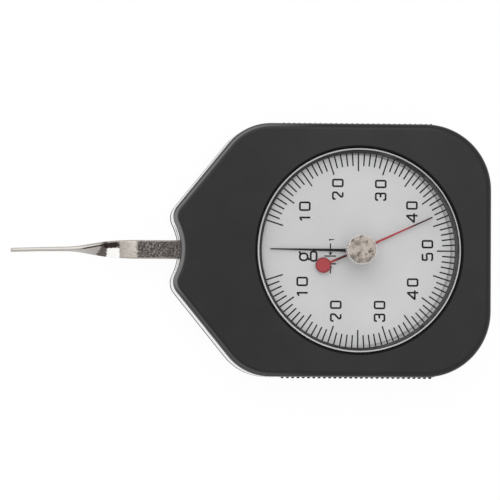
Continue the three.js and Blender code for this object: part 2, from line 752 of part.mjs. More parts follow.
// Half the angle that an involute tooth fills at a radius.
function toothHalfAngle(teeth, radius) {
  const pitchRadius = (gearModule * teeth) / 2;
  const baseRadius = pitchRadius * Math.cos(pressureAngle);
  const involute = (angle) => Math.tan(angle) - angle;
  const angleHere = Math.acos(Math.min(1, baseRadius / Math.max(radius, baseRadius)));
  const half = Math.PI / (2 * teeth) - toothBacklash / (2 * pitchRadius);
  return half + involute(pressureAngle) - involute(angleHere);
}

// [x, y] points round one tooth whose middle lies at an angle.
function toothPoints(teeth, middle) {
  const pitchRadius = (gearModule * teeth) / 2;
  const root = pitchRadius - dedendumShare * gearModule;
  const tip = pitchRadius + addendumShare * gearModule;
  const start = Math.max(root, pitchRadius * Math.cos(pressureAngle));
  const radii = Array.from({ length: flankSteps }, (_, i) => start + ((tip - start) * i) / (flankSteps - 1));
  const spot = (radius, side) => {
    const angle = middle + side * toothHalfAngle(teeth, radius);
    return [radius * Math.cos(angle), radius * Math.sin(angle)];
  };
  const foot = start > root ? [root] : [];
  return [
    ...[...foot, ...radii].map((radius) => spot(radius, -1)),
    ...[...radii.toReversed(), ...foot].map((radius) => spot(radius, 1)),
  ];
}

// The sector's side edge runs straight from its hub to the end of its rim.
function sectorEdgePoint(radius) {
  const hub = [0, sectorHubRadius];
  const rim = [sectorRootRadius * Math.cos(sectorEdgeAngle), sectorRootRadius * Math.sin(sectorEdgeAngle)];
  const along = [rim[0] - hub[0], rim[1] - hub[1]];
  const a = along[0] ** 2 + along[1] ** 2;
  const b = hub[0] * along[0] + hub[1] * along[1];
  const c = hub[0] ** 2 + hub[1] ** 2 - radius ** 2;
  const share = (-b + Math.sqrt(b ** 2 - a * c)) / a;
  return [hub[0] + along[0] * share, hub[1] + along[1] * share];
}

function sectorEdgeAngleAt(radius) {
  const [x, y] = sectorEdgePoint(radius);
  return Math.atan2(y, x);
}

// A window of the sector between its middle spoke and its upper edge.
function sectorWindow() {
  const outerRadius = sectorRootRadius - sectorRimWidth;
  const cornerAngle = (radius) => sectorEdgeAngleAt(radius) - sectorEdgeWidth / radius;
  const low = (radius) => Math.asin(sectorSpokeHalfWidth / radius);
  const inner = [cornerAngle(sectorWindowStart), low(sectorWindowStart)];
  return [
    ...arc(0, 0, outerRadius, low(outerRadius), cornerAngle(outerRadius), cornerSteps),
    ...inner.map((angle) => [sectorWindowStart * Math.cos(angle), sectorWindowStart * Math.sin(angle)]),
  ];
}

function makeSector() {
  const pitchAngle = (2 * Math.PI) / sectorTeeth;
  const firstTooth = -(sectorTeethCut - 1) / 2;
  const edge = sectorEdgePoint(sectorRootRadius);
  const teeth = Array.from({ length: sectorTeethCut }, (_, i) =>
    toothPoints(sectorTeeth, (firstTooth + i) * pitchAngle),
  );
  const outline = [[0, -sectorHubRadius], [edge[0], -edge[1]], ...teeth.flat(), edge, [0, sectorHubRadius]];
  const window = prism(sectorWindow(), sectorBottom - overrun, sectorTop + overrun);
  const seat = rod(weightCircle, 0, weightRadius, sectorBottom, sectorTop, mediumCircle);
  let sector = prism(outline, sectorBottom, sectorTop);
  sector = sector.add(rod(0, 0, sectorHubRadius, sectorBottom, sectorTop, mediumCircle));
  sector = sector.subtract(window).subtract(window.mirror([0, 1, 0])).add(seat);
  const holes = [
    [0, 0, leverArborRadius + seatGap], [weightCircle, 0, weightRivetRadius + seatGap], ...rivetHoles(),
  ];
  return drilled(sector, holes, sectorBottom, sectorTop);
}

function makeCounterweight() {
  const disc = rod(weightCircle, 0, weightRadius, sectorTop, weightTop, mediumCircle);
  return disc.add(rod(weightCircle, 0, weightRivetRadius, sectorBottom, sectorTop + seatGap));
}

// Stop pins stand where the sector's edges would come just past the lever's limits.
function stopPinPlaces() {
  const reach = Math.asin((stopPinRadius + stopPinClearance) / stopPinCircle);
  const angle = sectorEdgeAngleAt(stopPinCircle) + leverLimit + reach;
  const x = -pivotReach + stopPinCircle * Math.cos(angle);
  const y = stopPinCircle * Math.sin(angle);
  return [[x, y], [x, -y]];
}

function makePinionArbor() {
  const pitchAngle = (2 * Math.PI) / pinionTeeth;
  const outline = Array.from({ length: pinionTeeth }, (_, i) =>
    toothPoints(pinionTeeth, Math.PI + (i + 0.5) * pitchAngle),
  ).flat();
  const lowerEnd = plateBottom - journalTail;
  const shoulder = bridgeBottom - endShake;
  const seatBottom = bridgeTop - endShake;
  const top = pointerHubTop;
  const shaft = turned([
    [0, lowerEnd], [pinionJournalRadius, lowerEnd], [pinionJournalRadius, trainBottom],
    [pinionShaftRadius, trainBottom], [pinionShaftRadius, shoulder], [upperJournalRadius, shoulder],
    [upperJournalRadius, seatBottom], [pointerSeatRadius, seatBottom], [pointerSeatRadius, top], [0, top],
  ]);
  return shaft.add(prism(outline, trainBottom, pinionTop));
}

// The spiral spring's middle line: radius at a number of turns from the collet.
function springRadius(turns) {
  return colletRadius + seatGap + springThickness / 2 + springPitch * turns;
}

function makeSpiralSpring() {
  const steps = springStepsPerTurn * springTurns;
  const side = (shift) => Array.from({ length: steps + 1 }, (_, i) => {
    const turns = i / springStepsPerTurn;
    const radius = springRadius(turns) + shift;
    return [radius * Math.cos(turns * 2 * Math.PI), radius * Math.sin(turns * 2 * Math.PI)];
  });
  const outline = [...side(springThickness / 2), ...side(-springThickness / 2).toReversed()];
  return prism(outline, springBottom, springTop);
}

// The stud stands outside the spring's last turn, at its end.
function studPlace() {
  const angle = springTurns * 2 * Math.PI;
  const radius = springRadius(springTurns) + springThickness / 2 + seatGap + studRadius;
  return [radius * Math.cos(angle), radius * Math.sin(angle)];
}

// A flat hand of tapering width from its hub to its tip, along +X.
function handOutline(length, rootWidth, tipWidth) {
  return [[0, -rootWidth / 2], [length, -tipWidth / 2], [length, tipWidth / 2], [0, rootWidth / 2]];
}

function makePointer() {
  const bottom = pointerHubBottom + handSeat;
  const blade = handOutline(pointerLength, pointerRootWidth, pointerTipWidth);
  const hand = prism(blade, bottom, bottom + handThickness);
  const hub = rod(0, 0, pointerHubRadius, pointerHubBottom, pointerHubTop);
  const hole = rod(0, 0, pointerSeatRadius + seatGap, pointerHubBottom - overrun, pointerHubTop + overrun);
  return hand.add(hub).subtract(hole);
}

function makeMaxPointer() {
  const bottom = maxHubBottom + handSeat;
  const top = bottom + handThickness;
  const hand = prism(handOutline(maxPointerLength, maxPointerRootWidth, maxPointerTipWidth), bottom, top);
  const tail = prism(handOutline(-tailReach, maxPointerRootWidth, maxPointerRootWidth), bottom, top);
  const disc = rod(-tailReach, 0, tailDiscRadius, bottom, top, mediumCircle);
  const peg = rod(pegCircle, 0, pegRadius, maxHubBottom - pegDrop, top);
  const hub = rod(0, 0, maxHubRadius, maxHubBottom, maxHubTop);
  const hole = rod(0, 0, spindleSeatRadius + seatGap, maxHubBottom - overrun, maxHubTop + overrun);
  return hand.add(tail).add(disc).add(peg).add(hub).subtract(hole);
}

function makeSpindle() {
  return turned([
    [0, maxHubBottom], [spindleSeatRadius, maxHubBottom], [spindleSeatRadius, maxHubTop],
    [spindleRadius, maxHubTop], [spindleRadius, spindleTop], [0, spindleTop],
  ]);
}

// A knurled knob: straight teeth between two chamfers, bored for its spindle.
function makeKnob() {
  const layer = (shrink, z) => Array.from({ length: 2 * knobTeeth }, (_, i) => {
    const radius = knobRadius - Math.max(shrink, (i % 2) * knurlDepth);
    const angle = (Math.PI * i) / knobTeeth;
    return [radius * Math.cos(angle), radius * Math.sin(angle), z];
  });
  const body = loft([
    layer(knobChamfer, knobBottom), layer(0, knobBottom + knobChamfer),
    layer(0, knobTop - knobChamfer), layer(knobChamfer, knobTop),
  ]);
  return body.subtract(rod(0, 0, spindleRadius + seatGap, knobBottom - overrun, spindleTop));
}

// Materials
const finish = (color, roughness, metalness, more = {}) =>
  new THREE.MeshStandardMaterial({ color, roughness, metalness, ...more });
const blackPlastic = finish(0x343434, 0.5, 0);
const brightAlloy = finish(0xdcdcda, 0.22, 0.9);
const clearAcrylic = finish(0xf4f8f8, 0.05, 0, { transparent: true, opacity: 0.25 });
const silverDial = finish(0xc8c8c8, 0.6, 0.3);
const blackPaint = finish(0x1c1c1c, 0.5, 0);
const redPaint = finish(0xb8353a, 0.45, 0);
const nickel = finish(0xcbc1b6, 0.3, 0.95);
const satinSteel = finish(0xb9b3ab, 0.35, 0.95);
const brass = finish(0xc8a860, 0.32, 0.9);
const springBronze = finish(0xb88b50, 0.3, 0.9);
const zincSteel = finish(0x9a9a98, 0.35, 0.9);

// A named mesh of a solid, with smooth curves and sharp edges.
function piece(name, body, material, place = [0, 0]) {
  const { numProp, vertProperties, triVerts } = body.getMesh();
  const positions = new Float32Array((vertProperties.length / numProp) * 3);
  for (let i = 0; i < positions.length / 3; i += 1) {
    positions.set(vertProperties.subarray(i * numProp, i * numProp + 3), i * 3);
  }
  const geometry = new THREE.BufferGeometry();
  geometry.setAttribute("position", new THREE.BufferAttribute(positions, 3));
  geometry.setIndex(new THREE.BufferAttribute(triVerts, 1));
  const mesh = new THREE.Mesh(toCreasedNormals(geometry, creaseAngle), material);
  mesh.name = name;
  mesh.position.set(place[0], place[1], 0);
  return mesh;
}

// Copies of one solid at several places, numbered from 1.
function copies(name, body, material, places) {
  return places.map((place, i) => piece(`${name}_${i + 1}`, body, material, place));
}

const housing = new THREE.Group();
housing.add(
  piece("frame", makeFrame(), brightAlloy),
  piece("front_cover", makeFrontCover(), blackPlastic),
  piece("rear_cover", makeRearCover(), blackPlastic),
  ...copies("case_screw", makeCaseScrew(), zincSteel, caseScrewPlaces()),
  piece("crystal", makeCrystal(), clearAcrylic),
  piece("crystal_bush", makeCrystalBush(), nickel),
  piece("dial", makeDial(), silverDial),
);

const movement = new THREE.Group();
const bearing = (axleRadius, bottom, top) =>
  ring(0, 0, bushRadius, axleRadius + runningClearance, bottom, top);
const stopPin = rod(0, 0, stopPinRadius, plateBottom, plateTop + stopPinHeight);
const stud = rod(0, 0, studRadius, plateBottom, springTop + studRise);
movement.add(
  piece("main_plate", makeMainPlate(), brass),
  piece("bridge", makeBridge(), brass),
  ...copies("plate_screw", makeCheeseScrew(plateTop), zincSteel, plateScrewPlaces),
  ...copies("pillar", makePillar(), brass, pillarPlaces),
  ...copies("bridge_screw", makeBridgeScrew(), zincSteel, pillarPlaces),
  ...copies("stop_pin", stopPin, satinSteel, stopPinPlaces()),
  piece("lever_bearing_lower", bearing(leverJournalRadius, plateBottom, plateTop), springBronze, leverAxis),
  piece("lever_bearing_upper", bearing(leverJournalRadius, bridgeBottom, bridgeTop), springBronze, leverAxis),
  piece("pinion_bearing_lower", bearing(pinionJournalRadius, plateBottom, plateTop), springBronze),
  piece("pinion_bearing_upper", bearing(upperJournalRadius, bridgeBottom, bridgeTop), springBronze),
  piece("spiral_spring", makeSpiralSpring(), springBronze),
  piece("spring_stud", stud, brass, studPlace()),
);

const leverGroup = new THREE.Group();
leverGroup.position.x = -pivotReach;
leverGroup.add(
  piece("lever", makeLever(), satinSteel),
  piece("lever_arbor", makeLeverArbor(), satinSteel),
  piece("toothed_sector", makeSector(), brass),
  piece("lever_collar", makeLeverCollar(), brass),
  ...copies("lever_rivet", makeRivet(), satinSteel, rivetPlaces),
  piece("counterweight", makeCounterweight(), brass),
);

const pointerGroup = new THREE.Group();
const pointer = piece("pointer", makePointer(), blackPaint);
pointer.rotation.z = Math.PI;
const collet = ring(0, 0, colletRadius, pinionShaftRadius + seatGap, springBottom, springTop);
pointerGroup.add(
  piece("pinion_arbor", makePinionArbor(), satinSteel),
  piece("spring_collet", collet, brass),
  pointer,
);

const washer = ring(0, 0, washerRadius, spindleRadius + seatGap, maxHubTop, washerTop);
const resetGroup = new THREE.Group();
resetGroup.rotation.z = maxPointerRest;
resetGroup.add(
  piece("max_pointer", makeMaxPointer(), redPaint),
  piece("reset_spindle", makeSpindle(), satinSteel),
  piece("friction_washer", washer, springBronze),
  piece("reset_knob", makeKnob(), nickel),
);

const gauge = new THREE.Group();
gauge.add(housing, movement, leverGroup, pointerGroup, resetGroup);

export default gauge;
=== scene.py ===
"""Dial tension gauge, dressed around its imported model. Metres, +Z up, lying on its back."""

import json
import logging
import math
from dataclasses import dataclass
from enum import Enum
from functools import cached_property
from typing import Callable, Iterable, Sequence

import bmesh
import bpy
from mathutils import Matrix, Vector


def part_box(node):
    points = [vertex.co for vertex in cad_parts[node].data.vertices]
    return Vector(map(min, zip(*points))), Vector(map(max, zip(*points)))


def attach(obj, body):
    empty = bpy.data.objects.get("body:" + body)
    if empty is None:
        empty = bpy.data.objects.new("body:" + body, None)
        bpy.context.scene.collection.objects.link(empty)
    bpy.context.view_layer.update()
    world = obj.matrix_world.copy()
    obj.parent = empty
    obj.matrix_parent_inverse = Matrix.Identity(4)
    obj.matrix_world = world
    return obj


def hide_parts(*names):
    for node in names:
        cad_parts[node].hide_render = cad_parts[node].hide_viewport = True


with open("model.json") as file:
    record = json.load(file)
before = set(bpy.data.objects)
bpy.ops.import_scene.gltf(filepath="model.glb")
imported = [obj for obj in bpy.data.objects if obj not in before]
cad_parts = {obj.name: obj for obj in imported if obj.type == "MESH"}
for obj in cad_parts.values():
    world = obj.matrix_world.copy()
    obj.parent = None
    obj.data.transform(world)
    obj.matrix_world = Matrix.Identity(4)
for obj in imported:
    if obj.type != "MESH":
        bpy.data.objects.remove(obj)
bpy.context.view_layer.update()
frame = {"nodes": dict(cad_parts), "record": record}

MM = 0.001
TAU = 2 * math.pi
QUARTER = math.pi / 2
MERGE_DISTANCE = 0.002 * MM
OVERRUN = 1 * MM
ARC_STEP = math.radians(4)
ROUND_STEPS = 128
SMALL_STEPS = 48

SEAT_GAP = 0.15 * MM
LEVER_WIDTH = 4.6 * MM
LEVER_THICKNESS = 1 * MM
MAXIMUM_TURN = math.radians(22.9)
WEIGHT_PLACE = -9.4 * MM
WEIGHT_RADIUS = 1.9 * MM

Point = Sequence[float]
Colour = tuple[float, float, float]
Test = Callable[[Vector, bmesh.types.BMEdge], bool]

log = logging.getLogger("gauge")


def node_box(name: str) -> tuple[Vector, Vector]:
    """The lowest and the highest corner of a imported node, in metres."""
    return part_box(name)


def node_middle(name: str) -> tuple[float, float]:
    """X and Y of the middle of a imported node."""
    low, high = node_box(name)
    return (low.x + high.x) / 2, (low.y + high.y) / 2


def clamped(share: float) -> float:
    """A share, kept between 0 and 1."""
    return min(max(share, 0), 1)


def above(height: float) -> Test:
    """A test for what lies at a height or over it."""
    return lambda middle, element: middle.z > height - MERGE_DISTANCE


def near_x(place: float) -> Test:
    """A test for what has its middle at a place along X."""
    return lambda middle, element: abs(middle.x - place) < MERGE_DISTANCE


def along_x(middle: Vector, edge: bmesh.types.BMEdge) -> bool:
    """A test for edges that run along X."""
    return abs(edge.verts[0].co.x - edge.verts[1].co.x) > OVERRUN


class Plane(Enum):
    """The plane that an outline is drawn in, as the axis that its arcs are spun about."""

    FLAT = (0, 0, -1)
    UPRIGHT = (0, 1, 0)


class Join(Enum):
    """How a second solid changes the first."""

    CUT = "DIFFERENCE"
    WELD = "UNION"
    KEEP = "INTERSECT"


class Pick(Enum):
    """What an edit acts on."""

    CORNERS = "VERT"
    EDGES = "EDGE"
    FACES = "FACE"


def clear_selection() -> None:
    """Leave edit mode and select nothing."""
    if bpy.context.object and bpy.context.object.mode != "OBJECT":
        bpy.ops.object.mode_set(mode="OBJECT")
    bpy.ops.object.select_all(action="DESELECT")


def extrude(step: Point) -> None:
    """Extrude what is selected in edit mode."""
    bpy.ops.mesh.extrude_region_move(TRANSFORM_OT_translate={"value": tuple(step)})


class Piece:
    """One mesh object that modelling operators shape."""

    def __init__(self, made: bpy.types.Object, name: str) -> None:
        """Take over a mesh object under a new name."""
        self.made = made
        made.name = made.data.name = name

    @classmethod
    def cuboid(cls, name: str, low: Point, high: Point) -> "Piece":
        """A box between two corners.

        Args:
            name: The piece's name.
            low: Its lowest corner.
            high: Its highest corner.

        Returns:
            The new piece.
        """
        clear_selection()
        size = [top - bottom for bottom, top in zip(low, high)]
        middle = [(top + bottom) / 2 for bottom, top in zip(low, high)]
        bpy.ops.mesh.primitive_cube_add(size=1, location=middle, scale=size)
        return cls(bpy.context.object, name).settled()

    @classmethod
    def rod(
        cls, name: str, centre: Point, radius: float, bottom: float, top: float,
        steps: int = SMALL_STEPS,
    ) -> "Piece":
        """A round bar along Z.

        Args:
            name: The piece's name.
            centre: X and Y of its axis.
            radius: Its radius.
            bottom: Its lowest height.
            top: Its highest height.
            steps: How many sides the circle has.

        Returns:
            The new piece.
        """
        clear_selection()
        bpy.ops.mesh.primitive_cylinder_add(
            vertices=steps, radius=radius, depth=top - bottom,
            location=(centre[0], centre[1], (bottom + top) / 2),
        )
        return cls(bpy.context.object, name).settled()

    def settled(self) -> "Piece":
        """Put the object at the origin, with its place in its mesh.

        Returns:
            The piece itself.
        """
        self.activate()
        bpy.ops.object.transform_apply(location=True, rotation=True, scale=True)
        return self

    def activate(self) -> None:
        """Make this the one selected object."""
        clear_selection()
        self.made.select_set(True)
        bpy.context.view_layer.objects.active = self.made

    def discard(self) -> None:
        """Delete the object."""
        bpy.data.objects.remove(self.made, do_unlink=True)

    def pick(self, what: Pick, test: Test | None = None) -> None:
        """Select corners, edges or faces in edit mode.

        Args:
            what: The kind of element.
            test: Says by its middle, and by itself, whether an element is selected. All are
                selected without it.
        """
        self.activate()
        bpy.ops.object.mode_set(mode="EDIT")
        bpy.ops.mesh.select_mode(type=what.value)
        bpy.ops.mesh.select_all(action="DESELECT" if test else "SELECT")
        if test:
            shape = bmesh.from_edit_mesh(self.made.data)
            kinds = {Pick.CORNERS: shape.verts, Pick.EDGES: shape.edges, Pick.FACES: shape.faces}
            for element in kinds[what]:
                corners = [element] if what is Pick.CORNERS else element.verts
                middle = sum((corner.co for corner in corners), Vector()) / len(corners)
                element.select_set(test(middle, element))
            bmesh.update_edit_mesh(self.made.data)

    def round_edges(self, test: Test, width: float, steps: int = 4) -> "Piece":
        """Round the edges that pass a test.

        Args:
            test: Says which edges are rounded.
            width: The radius.
            steps: How many faces the rounding has.

        Returns:
            The piece itself.
        """
        self.pick(Pick.EDGES, test)
        bpy.ops.mesh.bevel(offset=width, segments=steps, profile=0.5, clamp_overlap=True)
        clear_selection()
        return self

    def combine(self, how: Join, *tools: "Piece") -> "Piece":
        """Cut or join other solids, which are used up.

        Args:
            how: Whether they are cut away, welded on or kept as the overlap.
            tools: The other solids, clear of each other.

        Returns:
            The piece itself.
        """
        tool = joined(tools)
        self.activate()
        change = self.made.modifiers.new(how.name.lower(), "BOOLEAN")
        change.operation, change.solver, change.object = how.value, "EXACT", tool.made
        bpy.ops.object.modifier_apply(modifier=change.name)
        tool.discard()
        return self

    def cleaned(self) -> "Piece":
        """Merge doubles and turn the faces outwards.

        Returns:
            The piece itself.
        """
        self.activate()
        bpy.ops.object.mode_set(mode="EDIT")
        bpy.ops.mesh.select_all(action="SELECT")
        bpy.ops.mesh.remove_doubles(threshold=MERGE_DISTANCE)
        bpy.ops.mesh.normals_make_consistent(inside=False)
        bpy.ops.object.mode_set(mode="OBJECT")
        return self

    def smoothed(self, degrees: float = 35) -> "Piece":
        """Shade round surfaces smooth and keep flat ones flat.

        Args:
            degrees: Edges sharper than this stay sharp.

        Returns:
            The piece itself.
        """
        self.activate()
        bpy.ops.object.shade_smooth_by_angle(angle=math.radians(degrees))
        change = self.made.modifiers.new("weighted", "WEIGHTED_NORMAL")
        change.keep_sharp = True
        bpy.ops.object.modifier_apply(modifier=change.name)
        return self

    def copied(self, name: str, move: Point = (0, 0, 0), turn: float = 0) -> "Piece":
        """A copy with its own mesh.

        Args:
            name: The copy's name.
            move: How far it is moved.
            turn: How far it is turned about the origin's Z axis, first.

        Returns:
            The copy.
        """
        self.activate()
        bpy.ops.object.duplicate(linked=False)
        twin = Piece(bpy.context.object, name)
        twin.made.rotation_euler.z = turn
        twin.made.location = move
        return twin.settled()

    def placed(self, name: str, move: Point = (0, 0, 0), turn: float = 0) -> "Piece":
        """The piece, turned and moved to its place under its last name.

        Args:
            name: Its last name.
            move: How far it is moved.
            turn: How far it is turned about the origin's Z axis, first.

        Returns:
            The piece at its place.
        """
        twin = self.copied(name, move, turn)
        self.discard()
        return twin

    def dressed(
        self, finish: bpy.types.Material, slot: str, *nodes: str, body: str = "case",
    ) -> "Piece":
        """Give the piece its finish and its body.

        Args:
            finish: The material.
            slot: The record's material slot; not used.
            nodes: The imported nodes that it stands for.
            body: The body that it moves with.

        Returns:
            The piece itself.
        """
        self.made.data.materials.clear()
        self.made.data.materials.append(finish)
        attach(self.made, body)
        if nodes:
            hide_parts(*nodes)
        return self


def joined(parts: Iterable[Piece]) -> Piece:
    """Join pieces into one object.

    Args:
        parts: The pieces.

    Returns:
        The first piece, which holds them all.
    """
    first, *others = parts
    if others:
        first.activate()
        for other in others:
            other.made.select_set(True)
        bpy.ops.object.join()
    return first


class Pen:
    """Draws an outline edge by edge in a new mesh."""

    def __init__(self, name: str, start: Point, plane: Plane = Plane.FLAT) -> None:
        """Set down the pen.

        Args:
            name: The drawing's name.
            start: The first point.
            plane: The plane that arcs lie in.
        """
        clear_selection()
        bpy.ops.mesh.primitive_plane_add(size=1 * MM, location=(0, 0, 0))
        self.piece = Piece(bpy.context.object, name)
        self.plane = plane
        self.piece.pick(Pick.CORNERS)
        bpy.ops.mesh.merge(type="CENTER")
        bpy.ops.transform.translate(value=tuple(start))
        self.at = Vector(start)

    def line(self, *points: Point) -> "Pen":
        """Draw straight lines.

        Args:
            points: Where each line ends.

        Returns:
            The pen itself.
        """
        for point in points:
            step = Vector(point) - self.at
            if step.length > MERGE_DISTANCE:
                extrude(step)
                self.at = Vector(point)
        return self

    def spot(self, centre: Point, radius: float, angle: float) -> Vector:
        """The point of a circle at an angle, in the pen's plane.

        Args:
            centre: The circle's centre.
            radius: Its radius.
            angle: The angle, anticlockwise from +X.

        Returns:
            The point.
        """
        across, along = radius * math.cos(angle), radius * math.sin(angle)
        upright = self.plane is Plane.UPRIGHT
        return Vector(centre) + Vector((across, 0, along) if upright else (across, along, 0))

    def arc(
        self, centre: Point, radius: float, start: float, end: float, step: float = ARC_STEP,
    ) -> "Pen":
        """Draw an arc, after a straight line to where it starts.

        Args:
            centre: Its centre.
            radius: Its radius.
            start: The angle that it starts at, anticlockwise from +X.
            end: The angle that it ends at.
            step: The angle of one edge.

        Returns:
            The pen itself.
        """
        self.line(self.spot(centre, radius, start))
        count = max(1, math.ceil(abs(end - start) / step - MERGE_DISTANCE))
        bpy.ops.mesh.spin(
            steps=count, angle=end - start, center=tuple(centre), axis=self.plane.value,
        )
        self.at = self.spot(centre, radius, end)
        return self

    def rounded(self, corners: Sequence[Point], radius: float) -> "Pen":
        """Draw through corners and round those between the first and the last.

        Args:
            corners: The corners, in the flat plane.
            radius: The radius of each rounding.

        Returns:
            The pen itself.
        """
        points = [Vector(corner) for corner in corners]
        for before, corner, after in zip(points, points[1:], points[2:]):
            back, ahead = (before - corner).normalized(), (after - corner).normalized()
            half = back.angle(ahead) / 2
            centre = corner + (back + ahead).normalized() * (radius / math.sin(half))
            towards = corner + back * (radius / math.tan(half)) - centre
            start = math.atan2(towards.y, towards.x)
            sweep = (math.pi - 2 * half) * (1 if back.cross(ahead).z < 0 else -1)
            self.arc(centre, radius, start, start + sweep, 4 * ARC_STEP)
        return self.line(points[-1])

    def prism(self, height: float) -> Piece:
        """The outline, closed and extruded upwards.

        Args:
            height: The prism's height.

        Returns:
            The solid.
        """
        bpy.ops.mesh.select_all(action="SELECT")
        bpy.ops.mesh.remove_doubles(threshold=MERGE_DISTANCE)
        bpy.ops.mesh.edge_face_add()
        self.piece.pick(Pick.FACES)
        extrude((0, 0, height))
        return self.piece.cleaned()

    def turned(self, centre: Point = (0, 0), steps: int = ROUND_STEPS) -> Piece:
        """The drawing, spun once round a Z axis.

        Args:
            centre: X and Y of the axis.
            steps: How many sides the circle has.

        Returns:
            The solid.
        """
        bpy.ops.mesh.select_all(action="SELECT")
        bpy.ops.mesh.spin(
            steps=steps, angle=TAU, center=(centre[0], centre[1], 0), axis=Plane.FLAT.value,
        )
        return self.piece.cleaned()


def profile(name: str, points: Sequence[Point], centre: Point = (0, 0)) -> Pen:
    """Draw a turned piece's half section, from the radius and the height of each corner."""
    placed = [(centre[0] + radius, centre[1], height) for radius, height in points]
    return Pen(name, placed[0], Plane.UPRIGHT).line(*placed[1:])


class Field:
    """A shader value that Python's operators work on."""

    def __init__(self, graph: "Graph", socket: bpy.types.NodeSocket) -> None:
        """Wrap a node's output."""
        self.graph, self.socket = graph, socket

    def maths(self, operation: str, *values: "Field | float") -> "Field":
        """One Math node."""
        return self.graph.add("ShaderNodeMath", {"operation": operation}, dict(enumerate(values)))

    def __add__(self, other: "Field | float") -> "Field":
        """Sum."""
        return self.maths("ADD", self, other)

    def __sub__(self, other: "Field | float") -> "Field":
        """Difference."""
        return self.maths("SUBTRACT", self, other)

    def __rsub__(self, other: float) -> "Field":
        """Difference from a number."""
        return self.maths("SUBTRACT", other, self)

    def __mul__(self, other: "Field | float") -> "Field":
        """Product."""
        return self.maths("MULTIPLY", self, other)

    def most(self, other: "Field | float") -> "Field":
        """The larger of two values."""
        return self.maths("MAXIMUM", self, other)

    def size(self) -> "Field":
        """Absolute value."""
        return self.maths("ABSOLUTE", self)

    def reach(self, other: "Field") -> "Field":
        """The length of the vector that two values make."""
        return self.maths("POWER", self * self + other * other, 0.5)

    def step(self, start: float, end: float) -> "Field":
        """A smooth step.

        Args:
            start: Where it is 0.
            end: Where it is 1, above the start or below it.

        Returns:
            The step.
        """
        if start > end:
            return 1 - self.step(end, start)
        settings, sockets = {"interpolation_type": "SMOOTHSTEP"}, {"Value": self, 1: start, 2: end}
        return self.graph.add("ShaderNodeMapRange", settings, sockets)


class Graph:
    """The nodes of one material or world."""

    def __init__(self, owner: bpy.types.Material | bpy.types.World) -> None:
        """Start from the nodes that the owner is made with.

        Args:
            owner: The material or the world.
        """
        owner.use_nodes = True
        self.owner = owner
        self.nodes, self.links = owner.node_tree.nodes, owner.node_tree.links
        self.output = next(node for node in self.nodes if node.name.endswith("Output"))
        self.shader = self.output.inputs["Surface"].links[0].from_node

    @cached_property
    def place(self) -> Field:
        """The place on the object, in metres."""
        return self.add("ShaderNodeTexCoord", {}, {}, "Object")

    def add(
        self, kind: str, settings: dict[str, object], sockets: dict[str | int, object],
        output: str | int = 0,
    ) -> Field:
        """Add a node.

        Args:
            kind: The node's type.
            settings: Its properties, set first.
            sockets: A value or a link for each input.
            output: The output that is wanted.

        Returns:
            The output, wrapped.
        """
        node = self.nodes.new(kind)
        for name, value in settings.items():
            setattr(node, name, value)
        for name, value in sockets.items():
            self.feed(node.inputs[name], value)
        return Field(self, node.outputs[output])

    def feed(self, socket: bpy.types.NodeSocket, value: object) -> None:
        """Link or set an input.

        Args:
            socket: The input.
            value: A wrapped output, a number or a colour.
        """
        if isinstance(value, Field):
            self.links.new(value.socket, socket)
        else:
            socket.default_value = value

    def set(self, **values: object) -> None:
        """Set the main shader's inputs.

        Args:
            values: A value or a link for each input, named in lower case with low lines.
        """
        sockets = {socket.name.lower().replace(" ", "_"): socket for socket in self.shader.inputs}
        for name, value in values.items():
            self.feed(sockets[name], value)

    def axis(self, name: str) -> Field:
        """One coordinate of the place on the object, in metres."""
        return self.add("ShaderNodeSeparateXYZ", {}, {0: self.place}, name)

    def radius(self) -> Field:
        """Distance from the dial's axis, in metres."""
        return self.axis("X").reach(self.axis("Y"))

    def noise(self, size: float, detail: float = 3, stretch: Point = (1, 1, 1)) -> Field:
        """Soft random spots around 0.5.

        Args:
            size: The size of a spot, in metres.
            detail: How many finer layers there are.
            stretch: How much finer the spots are along each axis.

        Returns:
            The pattern.
        """
        spread = [share / size for share in stretch]
        place = self.add("ShaderNodeMapping", {}, {"Vector": self.place, "Scale": spread})
        sockets = {"Vector": place, "Scale": 1, "Detail": detail}
        return self.add("ShaderNodeTexNoise", {}, sockets)

    def colour(self, share: Field, first: Colour | Field, second: Colour | Field) -> Field:
        """A blend of two colours.

        Args:
            share: 0 for the first and 1 for the second.
            first: A colour, or an earlier blend.
            second: A colour, or an earlier blend.

        Returns:
            The blend.
        """
        both = [end if isinstance(end, Field) else (*end, 1) for end in (first, second)]
        sockets = {0: share, 6: both[0], 7: both[1]}
        return self.add("ShaderNodeMix", {"data_type": "RGBA"}, sockets, 2)

    def relief(self, height: Field, depth: float) -> None:
        """Feed a bump of a depth in metres to the main shader."""
        sockets = {"Height": height, "Distance": depth, "Strength": 1}
        self.set(normal=self.add("ShaderNodeBump", {}, sockets, "Normal"))

    def show_white(self, white: Field, share: float) -> None:
        """Show a second shader to rays from the camera, in gloss and through glass.

        Args:
            white: The second shader.
            share: How much of it these rays see.
        """
        path = self.nodes.new("ShaderNodeLightPath")
        seen = Field(self, path.outputs["Is Camera Ray"])
        for name in ("Is Glossy Ray", "Is Transmission Ray"):
            seen = seen.most(Field(self, path.outputs[name]))
        main = Field(self, self.shader.outputs[0])
        mix = self.add("ShaderNodeMixShader", {}, {0: seen * share, 1: main, 2: white})
        self.feed(self.output.inputs["Surface"], mix)


class Finish:
    """A surface, whose own paint method adds its nodes."""

    name: str

    def material(self) -> bpy.types.Material:
        """The finish as a material.

        Returns:
            The new material.
        """
        graph = Graph(bpy.data.materials.new(self.name))
        self.paint(graph)
        return graph.owner


